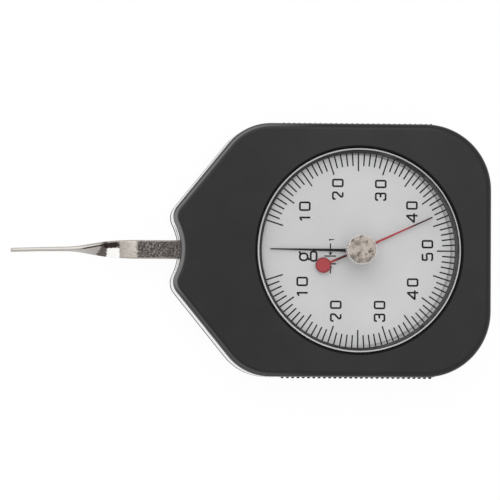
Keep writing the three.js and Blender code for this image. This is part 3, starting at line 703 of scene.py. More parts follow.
@dataclass(frozen=True)
class Moulding(Finish):
    """Satin plastic with a fine eroded grain.

    It is matt on its upright walls and in the window's groove, and has a painted highlight on
    its fillet round the end by the lever.
    """

    top: float
    seat: float
    name: str = "black_moulding"
    dark: Colour = (0.0025, 0.0025, 0.0027)
    light: Colour = (0.0075, 0.0075, 0.0078)
    wall: Colour = (0.006, 0.006, 0.006)
    groove: Colour = (0.015, 0.015, 0.015)
    ledge: Colour = (0.085, 0.085, 0.085)
    # Colour of the painted highlight on the fillet round the lever's end
    painted_edge_highlight: Colour = (0.2, 0.195, 0.195)

    def paint(self, graph: Graph) -> None:
        """Add the grain, the matt parts and the painted highlight on the fillet.

        Args:
            graph: The material's nodes.
        """
        fine, broad = graph.noise(0.22 * MM), graph.noise(9 * MM, 2)
        x, y, height, radius = graph.axis("X"), graph.axis("Y"), graph.axis("Z"), graph.radius()
        wall_top = self.top - 1.4 * MM
        upright = height.step(0.3 * MM, 0.9 * MM) * height.step(wall_top, wall_top - 0.6 * MM)
        groove = radius.step(self.seat + 0.62 * MM, self.seat + 0.52 * MM)
        ledge = radius.step(self.seat, self.seat - 0.1 * MM)
        # Painted highlight on the fillets towards -X: weaker towards -Y, and higher up the fillet
        # on the flanks
        left = x.step(-8 * MM, -30 * MM)
        low = height - y.size().step(6 * MM, 11 * MM) * 0.6 * MM
        fillet = low.step(self.top - 1.45 * MM, self.top - 0.85 * MM)
        fillet = fillet * height.step(self.top - 0.03 * MM, self.top - 0.3 * MM)
        painted_edge_highlight = left * (y.step(-14 * MM, -7 * MM) * 0.6 + 0.4) * fillet
        colour = graph.colour((fine * 0.5 + broad * 0.5).step(0.35, 0.65), self.dark, self.light)
        colour = graph.colour(painted_edge_highlight * (fine * 0.6 + 0.7), colour, self.painted_edge_highlight)
        colour = graph.colour(groove, graph.colour(upright, colour, self.wall), self.groove)
        graph.set(
            base_color=graph.colour(ledge, colour, self.ledge),
            roughness=0.6,
            specular_ior_level=0,
            coat_weight=(1 - upright.most(groove)) * (1 - left * 0.15),
            coat_roughness=0.3,
            coat_ior=1.39,
        )
        graph.relief(fine, 0.006 * MM)


@dataclass(frozen=True)
class Metal(Finish):
    """A metal surface: colour, gloss, fine lines or grain, and darker spots."""

    name: str
    light: Colour
    dark: Colour
    roughness: float
    spot: float
    stretch: Point = (1, 1, 1)

    def paint(self, graph: Graph) -> None:
        """Add the spots.

        Args:
            graph: The material's nodes.
        """
        fine = graph.noise(self.spot, 4, self.stretch)
        broad = graph.noise(8 * self.spot, 2)
        spots = (fine * 0.6 + broad * 0.4).step(0.35, 0.7)
        graph.set(
            base_color=graph.colour(spots, self.dark, self.light),
            metallic=1.0,
            roughness=(1 - spots) * 0.12 + self.roughness,
        )
        graph.relief(fine, 0.003 * MM)


@dataclass(frozen=True)
class FrameAlloy(Finish):
    """Bright alloy whose grip combs are blackened."""

    side: float
    comb_end: float
    comb_low: float
    comb_high: float
    name: str = "bright_alloy"
    light: Colour = (0.8, 0.8, 0.79)
    dull: Colour = (0.745, 0.745, 0.735)
    black: Colour = (0.01, 0.008, 0.007)
    soft: float = 0.05 * MM

    def paint(self, graph: Graph) -> None:
        """Add the spots and the black of the combs.

        Args:
            graph: The material's nodes.
        """
        fine, broad = graph.noise(0.4 * MM, 4), graph.noise(3 * MM, 2)
        spots = (fine * 0.6 + broad * 0.4).step(0.3, 0.6)
        height = graph.axis("Z")
        across = graph.axis("X").size().step(self.comb_end + self.soft, self.comb_end)
        out = graph.axis("Y").size().step(self.side - 0.35 * MM, self.side - 0.3 * MM)
        level = height.step(self.comb_low - self.soft, self.comb_low)
        level = level * height.step(self.comb_high + self.soft, self.comb_high)
        comb = across * out * level
        graph.set(
            base_color=graph.colour(comb, graph.colour(spots, self.dull, self.light), self.black),
            metallic=1 - comb,
            roughness=((1 - spots) * 0.07 + 0.22).most(comb * 0.7),
            specular_ior_level=0.1,
        )
        graph.relief(fine, 0.001 * MM)


@dataclass(frozen=True)
class Paint(Finish):
    """Paint or printing ink on metal."""

    name: str
    colour: Colour
    worn: Colour
    roughness: float
    gloss: float

    def paint(self, graph: Graph) -> None:
        """Add the wear.

        Args:
            graph: The material's nodes.
        """
        fine = graph.noise(0.3 * MM, 4)
        graph.set(
            base_color=graph.colour(fine.step(0.45, 0.8), self.colour, self.worn),
            roughness=fine * 0.1 + self.roughness,
            specular_ior_level=self.gloss,
        )
        graph.relief(fine, 0.002 * MM)


@dataclass(frozen=True)
class RedHandPaint(Finish):
    """Red paint that darkens along the blade's tip and round the disc, with a painted shadow of
    the knob on the tail by the hub.
    """

    name: str = "red_paint"
    red: Colour = (0.4, 0.04, 0.05)
    worn: Colour = (0.48, 0.07, 0.07)
    # dark colours the darker tip and disc rim, and the painted shadow of the knob
    dark: Colour = (0.03, 0.01, 0.012)
    dark_from: float = 11.8 * MM
    dark_to: float = 16 * MM

    def paint(self, graph: Graph) -> None:
        """Add the wear, the darker places and the painted shadow of the knob.

        Args:
            graph: The material's nodes.
        """
        x, y = graph.axis("X"), graph.axis("Y")
        along = x * math.cos(MAXIMUM_TURN) + y * math.sin(MAXIMUM_TURN)
        across = y * math.cos(MAXIMUM_TURN) - x * math.sin(MAXIMUM_TURN)
        fine = graph.noise(0.4 * MM, 4)
        out = (along - WEIGHT_PLACE).reach(across)
        rim = out.step(WEIGHT_RADIUS - 0.45 * MM, WEIGHT_RADIUS - 0.1 * MM)
        on_disc = out.step(WEIGHT_RADIUS + 0.05 * MM, WEIGHT_RADIUS)
        edge = along.step(self.dark_from, self.dark_to)
        # Painted shadow of the knob on the tail by the hub
        painted_knob_shadow = along.step(-7.2 * MM, -5 * MM) * along.step(-1.5 * MM, -3 * MM)
        dark = (edge * 0.95).most(painted_knob_shadow * 0.85).most(rim * on_disc * 0.5)
        paint = graph.colour(fine.step(0.4, 0.7), self.red, self.worn)
        graph.set(
            base_color=graph.colour(dark, paint, self.dark),
            roughness=fine * 0.12 + 0.42,
            specular_ior_level=0.2,
        )
        graph.relief(fine, 0.003 * MM)


@dataclass(frozen=True)
class DialFace(Finish):
    """Silver-grey face with a fine sprayed grain, and painted shade under the rim along one side
    of its edge.
    """

    name: str = "silver_face"
    light: Colour = (0.68, 0.68, 0.685)
    dark: Colour = (0.54, 0.54, 0.545)
    # edge and line are painted shade: a darker crescent under the rim, with a darker line at its
    # inner boundary
    edge: Colour = (0.4, 0.4, 0.405)
    line: Colour = (0.24, 0.24, 0.245)
    edge_x: float = -0.57 * MM
    edge_y: float = 0.11 * MM
    rim_shade_radius: float = 23.35 * MM

    def paint(self, graph: Graph) -> None:
        """Add the grain and the painted shade under the rim.

        Args:
            graph: The material's nodes.
        """
        x, y = graph.axis("X") - self.edge_x, graph.axis("Y") - self.edge_y
        out = x.reach(y) - self.rim_shade_radius
        # side, band and line paint that shade as a crescent on one side of the face, along the rim
        side = (x * 0.966 + y * 0.259).step(-9 * MM, 6 * MM)
        band = out.step(-0.1 * MM, 0.2 * MM) * side * (1 - out.step(0.35 * MM, 0.95 * MM) * 0.9)
        line = out.step(-0.12 * MM, 0.08 * MM) * out.step(0.5 * MM, 0.2 * MM) * side
        fine, broad = graph.noise(0.16 * MM, 4), graph.noise(14 * MM, 2)
        face = graph.colour((fine * 0.8 + broad * 0.2).step(0.32, 0.62), self.dark, self.light)
        face = graph.colour(band * 0.85, face, self.edge)
        graph.set(
            base_color=graph.colour(line * 0.7, face, self.line),
            metallic=0.15,
            roughness=fine * 0.15 + 0.5,
        )
        graph.relief(fine, 0.002 * MM)


@dataclass(frozen=True)
class ClearCrystal(Finish):
    """Clear disc whose bevelled rim is painted pale and nearly opaque, a painted highlight that is
    palest towards -Y.
    """

    radius: float
    name: str = "clear_acrylic"
    disc: Colour = (0.8, 0.82, 0.82)
    # The two bevel colours paint a highlight on the rim, palest towards -Y
    upper_bevel_highlight: Colour = (0.74, 0.75, 0.75)
    lower_bevel: Colour = (1, 1, 1)

    def paint(self, graph: Graph) -> None:
        """Add the rim's painted highlight and a faint smear.

        Args:
            graph: The material's nodes.
        """
        # The rim is painted pale and nearly opaque: a painted highlight
        rim = graph.radius().step(self.radius - 0.38 * MM, self.radius - 0.3 * MM)
        lower = graph.axis("Y").step(12 * MM, -8 * MM)
        bevel = graph.colour(lower, self.upper_bevel_highlight, self.lower_bevel)
        smear = graph.noise(6 * MM, 3).step(0.35, 0.8)
        graph.set(
            base_color=graph.colour(rim, self.disc, bevel),
            alpha=smear * 0.006 + 0.008 + rim * 0.93,
            roughness=smear * 0.04 + 0.04,
        )


@dataclass(frozen=True)
class LeverSteel(Finish):
    """Tumbled strip: beige past its flat stretch, silver towards its tip.

    Its flat stretch is painted dark with speckles, a painted dark reflection with grain. The twist
    has
    painted reflections: a white highlight, a brownish patch, a dark diagonal line and a tapered
    dark patch.
    """

    twist_start: float
    name: str = "tumbled_strip"
    beige: Colour = (0.44, 0.405, 0.37)
    shade: Colour = (0.32, 0.29, 0.265)
    # dark and speck paint the flat stretch's dark reflection and its speckled grain; white and the
    # brownish colour paint reflections on the twist
    dark: Colour = (0.05, 0.042, 0.04)
    speck: Colour = (0.21, 0.195, 0.185)
    white: Colour = (0.95, 0.94, 0.92)
    painted_brown_reflection: Colour = (0.018, 0.012, 0.01)
    silver: Colour = (0.44, 0.42, 0.4)

    def paint(self, graph: Graph) -> None:
        """Add the speckles and the painted reflections.

        Args:
            graph: The material's nodes.
        """
        along, across = self.twist_start - graph.axis("X"), graph.axis("Y")
        fine, medium = graph.noise(0.42 * MM, 2), graph.noise(0.7 * MM, 4)
        streaks = graph.noise(0.25 * MM, 3, (0.18, 1, 1))
        ragged = (medium - 0.5) * 1.6 * MM
        place = along + ragged
        flat = graph.colour((fine * 0.85 + medium * 0.15).step(0.4, 0.68), self.dark, self.speck)
        plain = graph.colour(
            (streaks * 0.5 + medium * 0.5).step(0.3, 0.6), self.shade, self.beige,
        )
        blade = graph.colour(
            (streaks * 0.6 + medium * 0.4).step(0.3, 0.6), self.beige, self.silver,
        )
        edge = LEVER_WIDTH / 2 - 0.2 * MM
        # The flat stretch, inside its rounded edges, gets the speckled dark colour: a painted dark
        # reflection with grain
        matt = place.step(0.7 * MM, -0.4 * MM) * across.size().step(edge, edge - 0.2 * MM)
        upper = (across + ragged * 0.6).step(0.15 * MM, 0.5 * MM)
        bevel = across + (along - 5.5 * MM).most(0) * 0.13
        # Painted reflection: a brownish patch on the upper half of the twist
        painted_brown_reflection = place.step(4.1 * MM, 5 * MM) * place.step(9 * MM, 8 * MM)
        painted_brown_reflection = painted_brown_reflection * upper * bevel.step(1.85 * MM, 1.65 * MM)
        # Painted reflection: a dark diagonal line across the twist
        painted_dark_streak = (across - 2.6 * MM + along * 0.19).size().step(0.24 * MM, 0.12 * MM)
        painted_dark_streak = painted_dark_streak * along.step(7.6 * MM, 8.6 * MM) * along.step(14.6 * MM, 12.6 * MM)
        # Painted highlight: a white patch on the lower half of the twist
        white = (along + ragged * 0.4).step(4.2 * MM, 4.6 * MM)
        white = white * place.step(7.9 * MM, 7.4 * MM) * (1 - upper)
        # Painted reflection: a tapered dark patch past the white highlight
        painted_dark_wedge = place.step(7.4 * MM, 7.9 * MM) * (place + across * 0.5).step(9.7 * MM, 9 * MM)
        colour = graph.colour(along.step(8.5 * MM, 11 * MM), plain, blade)
        colour = graph.colour(white, colour, self.white)
        colour = graph.colour(painted_dark_wedge * 0.8, colour, self.dark)
        colour = graph.colour(painted_brown_reflection.most(painted_dark_streak) * 0.95, colour, self.painted_brown_reflection)
        graph.set(
            base_color=graph.colour(matt, colour, flat),
            metallic=1.0,
            roughness=fine * 0.14 + 0.28 + matt * 0.1,
        )
        graph.relief(fine * 0.6 + medium * 0.4, 0.01 * MM)


@dataclass(frozen=True)
class KnobNickel(Finish):
    """Nickel plating, worn to a mottled beige on the knob's top, with a painted highlight on its
    knurl ridges and painted shade in its grooves.
    """

    top: float
    radius: float
    name: str = "knob_nickel"
    # light is the nickel of the knurl ridges, raised to near-white as a painted highlight
    light: Colour = (0.97, 0.96, 0.94)
    beige: Colour = (0.36, 0.32, 0.285)
    dull: Colour = (0.17, 0.15, 0.13)
    # dark colours the top's dark spots, and paints shade in the knurl grooves
    dark: Colour = (0.06, 0.05, 0.04)

    def paint(self, graph: Graph) -> None:
        """Add the mottled top, the ridges' painted highlight and the grooves' painted shade.

        Args:
            graph: The material's nodes.
        """
        fine, medium = graph.noise(0.3 * MM, 5), graph.noise(1.3 * MM, 4)
        broad, height = graph.noise(3.2 * MM, 2), graph.axis("Z")
        worn = (fine * 0.25 + medium * 0.35 + broad * 0.4).step(0.44, 0.56)
        spots = (fine * 0.3 + medium * 0.7).step(0.54, 0.62)
        face = height.step(self.top - 0.1 * MM, self.top - 0.03 * MM)
        mottled = graph.colour(worn, self.beige, self.dull)
        mottled = graph.colour(spots * 0.7, mottled, self.dark)
        fillet = height.step(self.top - 0.5 * MM, self.top - 0.35 * MM)
        # Below the top's fillet, the knurl grooves are painted dark: painted shade
        ridge = graph.radius().step(self.radius - 0.26 * MM, self.radius - 0.16 * MM).most(fillet)
        side = graph.colour(medium.step(0.6, 0.7), self.light, self.beige)
        side = graph.colour(ridge, self.dark, side)
        graph.set(
            base_color=graph.colour(face, side, mottled),
            metallic=1.0,
            roughness=worn * 0.16 + 0.26,
        )
        graph.relief(fine * 0.5 + medium * 0.5, 0.008 * MM)


class Finishes:
    """Every material of the gauge, made once."""

    def __init__(self) -> None:
        """Make the materials."""
        crystal_radius = node_box("crystal")[1].y
        rear_low, rear_high = node_box("rear_cover")
        comb_middle = (node_box("frame")[0].z + node_box("frame")[1].z) / 2
        comb_end, comb_half, flat_stretch = 19.2 * MM, 1.3 * MM, 8.5 * MM
        knob_high = node_box("reset_knob")[1]
        lines = (1, 1, 6)
        made = {
            "moulding": Moulding(node_box("front_cover")[1].z, crystal_radius + SEAT_GAP),
            "frame": FrameAlloy(
                rear_high.y, comb_end, comb_middle - comb_half, comb_middle + comb_half,
            ),
            "zinc": Metal("zinc_plating", (0.6, 0.6, 0.59), (0.4, 0.4, 0.39), 0.34, 0.3 * MM),
            "crystal": ClearCrystal(crystal_radius),
            "nickel": Metal("nickel", (0.7, 0.66, 0.6), (0.5, 0.46, 0.4), 0.24, 0.4 * MM),
            "knob": KnobNickel(knob_high.z, knob_high.x),
            "dial": DialFace(),
            "ink": Paint("printing_ink", (0.004, 0.004, 0.005), (0.012, 0.012, 0.014), 0.6, 0.1),
            "brass": Metal(
                "brass", (0.75, 0.57, 0.28), (0.6, 0.43, 0.19), 0.28, 0.5 * MM, lines,
            ),
            "bronze": Metal(
                "bronze", (0.66, 0.45, 0.22), (0.5, 0.33, 0.15), 0.3, 0.4 * MM, lines,
            ),
            "steel": Metal(
                "turned_steel", (0.6, 0.58, 0.55), (0.45, 0.43, 0.41), 0.28, 0.4 * MM, lines,
            ),
            "lever": LeverSteel(rear_low.x - flat_stretch),
            "black": Paint(
                "black_paint", (0.004, 0.004, 0.0045), (0.016, 0.016, 0.016), 0.45, 0.12,
            ),
            "red": RedHandPaint(),
        }
        self.made = {name: finish.material() for name, finish in made.items()}

    def __getitem__(self, name: str) -> bpy.types.Material:
        """A material by its short name."""
        return self.made[name]


@dataclass
class CaseOutline:
    """The outline that the covers and the frame share, seen from the front."""

    corner_radius: float = 16.2 * MM
    shoulder_radius: float = 13.35 * MM
    flank_angle: float = math.radians(51)
    notch_radius: float = 14 * MM
    nose_radius: float = 4.05 * MM
    nose_spread: float = 8 * MM
    notch_margin: float = 10.6 * MM

    def __post_init__(self) -> None:
        """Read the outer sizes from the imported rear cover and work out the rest."""
        high = node_box("rear_cover")[1]
        self.half_width, self.right_reach = high.y, high.x
        self.notch_reach = self.notch_margin - node_middle("lever_arbor")[0]
        self.notch_x = -self.notch_reach - self.notch_radius
        touch = self.notch_radius + self.nose_radius
        self.nose_x = self.notch_x + math.sqrt(touch**2 - self.nose_spread**2)
        self.corner_x = self.right_reach - self.corner_radius
        self.corner_y = self.half_width - self.corner_radius
        self.shoulder_y = self.half_width - self.shoulder_radius
        spread = self.shoulder_radius - self.nose_radius
        rise = self.shoulder_y - self.nose_spread + spread * math.cos(self.flank_angle)
        run = rise / math.tan(self.flank_angle)
        self.shoulder_x = self.nose_x + run + spread * math.sin(self.flank_angle)
        self.screws = [node_middle(f"case_screw_{number}") for number in (1, 2, 3, 4)]

    def solid(self, name: str, inset: float, bottom: float, top: float) -> Piece:
        """A prism over the outline.

        Args:
            name: The piece's name.
            inset: How far the outline is moved in.
            bottom: The prism's lowest height.
            top: Its highest height.

        Returns:
            The solid.
        """
        notch_end = math.atan2(self.nose_spread, self.nose_x - self.notch_x)
        lean, nose_step = QUARTER + self.flank_angle, 2 * ARC_STEP
        corner, shoulder = self.corner_radius - inset, self.shoulder_radius - inset
        nose, notch = self.nose_radius - inset, self.notch_radius + inset
        arcs = [
            (self.corner_x, self.corner_y, corner, 0, QUARTER, ARC_STEP),
            (self.shoulder_x, self.shoulder_y, shoulder, QUARTER, lean, ARC_STEP),
            (self.nose_x, self.nose_spread, nose, lean, math.pi + notch_end, nose_step),
            (self.notch_x, 0, notch, notch_end, -notch_end, ARC_STEP),
            (self.nose_x, -self.nose_spread, nose, math.pi - notch_end, TAU - lean, nose_step),
            (self.shoulder_x, -self.shoulder_y, shoulder, TAU - lean, 3 * QUARTER, ARC_STEP),
            (self.corner_x, -self.corner_y, corner, 3 * QUARTER, TAU, ARC_STEP),
        ]
        side = self.right_reach - inset
        pen = Pen(name, (side, -self.corner_y, bottom)).line((side, self.corner_y, bottom))
        for x, y, radius, start, end, step in arcs:
            pen.arc((x, y, bottom), radius, start, end, step)
        return pen.prism(top - bottom)


@dataclass
class GripComb:
    """Short grip ribs in the middle of a long side."""

    side: float
    middle: float
    pitch: float = 1.3 * MM
    count: int = 29
    height: float = 0.35 * MM
    root: float = 0.6 * MM
    tip: float = 0.25 * MM
    length: float = 2.6 * MM
    margin: float = 0.7 * MM
    depth: float = 1.2 * MM
    sink: float = 0.1 * MM
    rounding: float = 0.08 * MM

    def solid(self, way: int) -> Piece:
        """One comb.

        Args:
            way: 1 on the upper side and -1 on the lower.

        Returns:
            The solid, with its root inside the band.
        """
        bottom = self.middle - self.length / 2
        half = self.pitch * (self.count - 1) / 2
        end = half + self.root / 2 + self.margin
        floor, back = way * (self.side - self.sink), way * (self.side - self.depth)
        pen = Pen("comb", (end, back, bottom)).line((end, floor, bottom))
        rise = [(self.root / 2, -self.sink), (self.root / 2, 0), (self.tip / 2, self.height)]
        across = [*rise, *((-x, y) for x, y in reversed(rise))]
        for rib in range(self.count):
            middle = half - rib * self.pitch
            pen.line(*[(middle + x, way * (self.side + y), bottom) for x, y in across])
        comb = pen.line((-end, floor, bottom), (-end, back, bottom)).prism(self.length)
        tip = self.side + self.height / 2 + MERGE_DISTANCE
        return comb.round_edges(lambda middle, edge: abs(middle.y) > tip, self.rounding, 2)


@dataclass
class Case:
    """Covers, frame and case screws."""

    outline: CaseOutline
    finishes: Finishes
    front_edge: float = 1.5 * MM
    rear_edge: float = 0.7 * MM
    face: float = 1.8 * MM
    wall: float = 2 * MM
    boss_radius: float = 2.6 * MM
    screw_radius: float = 0.95 * MM
    screw_head: float = 1.9 * MM
    head_depth: float = 1 * MM
    recess_arm: float = 1.19 * MM
    recess_half: float = 0.225 * MM
    recess_depth: float = 0.6 * MM
    sink_rim: float = 0.1 * MM
    sink_depth: float = 1.1 * MM
    tight: float = 0.05 * MM
    loose: float = 0.15 * MM
    soft: float = 0.12 * MM
    tube_wall: float = 1.4 * MM
    ledge: float = 1.1 * MM
    chamfer_width: float = 0.4 * MM
    chamfer_depth: float = 0.8 * MM
    lug_radius: float = 2.4 * MM
    lug_hole: float = 0.75 * MM
    swing: float = math.radians(15)
    slot_room: float = 0.7 * MM
    slot_corner: float = 0.6 * MM

    def build(self) -> None:
        """Make and dress the case."""
        self.front_cover()
        self.frame()
        self.rear_cover()
        self.screws()

    def bosses(self, bottom: float, top: float, radius: float) -> list[Piece]:
        """Four round bars on the case screws' axes."""
        return [Piece.rod("boss", place, radius, bottom, top) for place in self.outline.screws]

    def hollow(self, bottom: float, top: float, *kept: Piece) -> Piece:
        """What is taken out of the case's inside, apart from its bosses.

        Args:
            bottom: Its lowest height.
            top: Its highest height.
            kept: Other solids that stay inside.

        Returns:
            The solid to cut away.
        """
        inside = self.outline.solid("hollow", self.wall, bottom, top)
        bosses = self.bosses(bottom - OVERRUN, top + OVERRUN, self.boss_radius)
        return inside.combine(Join.CUT, *kept, *bosses)

    def front_cover(self) -> None:
        """The dark cover with its round window."""
        low, high = node_box("front_cover")
        bottom, top = node_box("frame")[1].z, high.z
        under, over = low.z - OVERRUN, high.z + OVERRUN
        crystal_low, crystal_high = node_box("crystal")
        seat, reach = crystal_high.y + SEAT_GAP, crystal_high.y - self.ledge
        tube, chamfer = seat + self.tube_wall, seat + self.chamfer_width
        cover = self.outline.solid("front_cover_shell", 0, bottom, top)
        cover.round_edges(above(top), self.front_edge, 8)
        core = Piece.rod("core", (0, 0), tube, bottom - 2 * OVERRUN, over, ROUND_STEPS)
        cover.combine(Join.CUT, self.hollow(bottom - OVERRUN, top - self.face, core))
        rim = Piece.rod("tube", (0, 0), tube, low.z, top - self.front_edge, ROUND_STEPS)
        cover.combine(Join.WELD, rim)
        window = profile("window", [
            (0, under), (reach, under), (reach, crystal_low.z), (seat, crystal_low.z),
            (seat, top - self.chamfer_depth), (chamfer - self.soft, top - self.soft),
            (chamfer + self.soft, top), (chamfer + self.soft, over), (0, over),
        ])
        cover.combine(Join.CUT, window.turned(steps=2 * ROUND_STEPS))
        screw_top = node_box("case_screw_1")[1].z + self.tight
        cover.combine(Join.CUT, *self.bosses(low.z, screw_top, self.screw_radius + self.tight))
        cover.smoothed().dressed(self.finishes["moulding"], "black_plastic", "front_cover")

    def frame(self) -> None:
        """The bright band with its grip ribs, screw bosses and plate lugs."""
        low, high = node_box("frame")
        under, over = low.z - OVERRUN, high.z + OVERRUN
        band = self.outline.solid("frame_band", 0, low.z, high.z)
        comb = GripComb(self.outline.half_width, (low.z + high.z) / 2)
        band.combine(Join.WELD, comb.solid(1), comb.solid(-1))
        band.combine(Join.CUT, self.hollow(under, over))
        band.combine(Join.WELD, *self.lugs())
        band.combine(Join.CUT, *self.bosses(under, over, self.screw_radius + self.loose))
        band.combine(Join.CUT, self.lever_slot())
        band.smoothed().dressed(self.finishes["frame"], "bright_frame", "frame")

    def lugs(self) -> list[Piece]:
        """The three lugs that the movement's plate is screwed to.

        Returns:
            The lugs, each with its hole.
        """
        bottom, top = node_box("frame")[0].z, node_box("main_plate")[0].z
        wall_x = self.outline.right_reach - self.wall / 2
        wall_y = self.outline.half_width - self.wall / 2
        made = []
        for number in (1, 2, 3):
            x, y = end_x, end_y = node_middle(f"plate_screw_{number}")
            half_x = half_y = 0
            if abs(x) > abs(y):
                end_x, half_y = math.copysign(wall_x, x), self.lug_radius
            else:
                end_y, half_x = math.copysign(wall_y, y), self.lug_radius
            lug = Piece.cuboid(
                "lug", (min(x, end_x) - half_x, min(y, end_y) - half_y, bottom),
                (max(x, end_x) + half_x, max(y, end_y) + half_y, top),
            )
            lug.combine(Join.WELD, Piece.rod("lug_end", (x, y), self.lug_radius, bottom, top))
            hole = Piece.rod("lug_hole", (x, y), self.lug_hole, bottom - OVERRUN, top + OVERRUN)
            made.append(lug.combine(Join.CUT, hole))
        return made

    def lever_slot(self) -> Piece:
        """The slot in the frame's nose, wide enough for the lever's swing.

        Returns:
            The solid to cut away.
        """
        lever_half = LEVER_WIDTH / 2 / math.cos(self.swing)
        half = self.outline.notch_margin * math.tan(self.swing) + lever_half + self.slot_room
        middle = node_box("toothed_sector")[1].z + LEVER_THICKNESS / 2
        tall = LEVER_THICKNESS / 2 + self.slot_room
        edge, nose = -self.outline.notch_reach, self.outline.nose_radius
        slot = Piece.cuboid(
            "slot", (edge - nose, -half, middle - tall),
            (edge + self.wall + nose, half, middle + tall),
        )
        return slot.round_edges(along_x, self.slot_corner)

    def rear_cover(self) -> None:
        """The dark back with its countersunk holes."""
        low, high = node_box("rear_cover")
        over, bottom = high.z + OVERRUN, low.z + MERGE_DISTANCE
        cover = self.outline.solid("rear_cover_shell", 0, low.z, high.z)
        cover.round_edges(lambda middle, edge: middle.z < bottom, self.rear_edge, 6)
        cover.combine(Join.CUT, self.hollow(self.face, over))
        hole, head = self.screw_radius + self.loose, self.screw_head + self.loose
        section = [
            (0, -OVERRUN), (head, -OVERRUN), (head, self.sink_rim), (hole, self.sink_depth),
            (hole, over), (0, over),
        ]
        cover.combine(Join.CUT, *[
            profile("sink", section, place).turned(place, SMALL_STEPS)
            for place in self.outline.screws
        ])
        cover.smoothed().dressed(self.finishes["moulding"], "black_plastic", "rear_cover")

    def screws(self) -> None:
        """Four countersunk screws with a cross recess, seen from the back."""
        low, high = node_box("case_screw_1")
        head, shank, soft = self.screw_head, self.screw_radius, self.soft
        screw = profile("case_screw_part", [
            (0, low.z), (head - soft, low.z), (head, low.z + soft),
            (shank, low.z + self.head_depth), (shank, high.z - shank / 2), (shank / 2, high.z),
            (0, high.z),
        ]).turned(steps=SMALL_STEPS)
        arm, half, deep = self.recess_arm, self.recess_half, low.z + self.recess_depth
        recess, bar = (
            Piece.cuboid(name, (-x, -y, -OVERRUN), (x, y, deep))
            for name, x, y in (("recess", arm, half), ("recess_bar", half, arm))
        )
        screw.combine(Join.CUT, recess.combine(Join.WELD, bar)).smoothed()
        for number, (x, y) in enumerate(self.outline.screws, 1):
            twin = screw.copied(f"case_screw_{number}_turned", (x, y, 0))
            twin.dressed(self.finishes["zinc"], "zinc_steel", f"case_screw_{number}")
        screw.discard()


@dataclass
class Crystal:
    """The clear disc and its riveted bush."""

    finishes: Finishes
    bevel: float = 0.4 * MM
    lower_bevel: float = 0.1 * MM
    play: float = 0.05 * MM
    body_radius: float = 1.6 * MM
    flange_radius: float = 2.5 * MM
    lip_radius: float = 2.1 * MM
    bore: float = 0.88 * MM
    soft: float = 0.15 * MM

    def build(self) -> None:
        """Make and dress the crystal and the bush."""
        low, high = node_box("crystal")
        hole, rim, under = self.body_radius + self.play, high.y, self.lower_bevel
        disc = profile("crystal_disc", [
            (hole, low.z), (rim - under, low.z), (rim, low.z + under), (rim, high.z - self.bevel),
            (rim - self.bevel, high.z), (hole, high.z), (hole, low.z),
        ]).turned(steps=2 * ROUND_STEPS)
        disc.smoothed(25).dressed(self.finishes["crystal"], "clear_crystal", "crystal")
        bottom, top = (corner.z for corner in node_box("crystal_bush"))
        bore, lip, body, flange = self.bore, self.lip_radius, self.body_radius, self.flange_radius
        bush = profile("crystal_bush_turned", [
            (bore, bottom), (lip, bottom), (lip, low.z), (body, low.z), (body, high.z),
            (flange, high.z), (flange, top - self.soft), (flange - self.soft, top), (bore, top),
            (bore, bottom),
        ]).turned()
        bush.smoothed().dressed(self.finishes["nickel"], "nickel", "crystal_bush")


@dataclass
class ResetKnob:
    """The knurled knob that turns the maximum pointer back."""

    finishes: Finishes
    teeth: int = 30
    land_share: float = 0.42
    depth: float = 0.24 * MM
    rounding: float = 0.4 * MM
    bore: float = 0.85 * MM
    roof: float = 1.6 * MM

    def build(self) -> None:
        """Make and dress the knob."""
        low, high = node_box("reset_knob")
        radius, turn = high.x, self.rounding
        knob = self.knurled(radius, low.z, high.z)
        blank = profile("blank", [
            (0, low.z), (radius - turn, low.z), (radius, low.z + turn), (radius, high.z - turn),
        ])
        blank.arc((radius - turn, 0, high.z - turn), turn, 0, QUARTER, 4 * ARC_STEP)
        knob.combine(Join.KEEP, blank.line((0, 0, high.z)).turned())
        bore = Piece.rod("bore", (0, 0), self.bore, low.z - OVERRUN, high.z - self.roof)
        knob.combine(Join.CUT, bore).smoothed(28)
        knob.dressed(self.finishes["knob"], "nickel", "reset_knob", body="maximum_pointer")

    def knurled(self, radius: float, bottom: float, top: float) -> Piece:
        """A bar with straight knurling.

        Args:
            radius: Its outer radius.
            bottom: Its lowest height.
            top: Its highest height.

        Returns:
            The solid.
        """
        pitch = TAU / self.teeth
        land, deep = self.land_share * pitch, radius - self.depth
        pen = Pen("knurled", (radius, 0, bottom))
        for tooth in range(self.teeth):
            start = tooth * pitch
            pen.arc((0, 0, bottom), radius, start, start + land, land / 2)
            groove = start + (land + pitch) / 2
            pen.line((deep * math.cos(groove), deep * math.sin(groove), bottom))
        return pen.line((radius, 0, bottom)).prism(top - bottom)


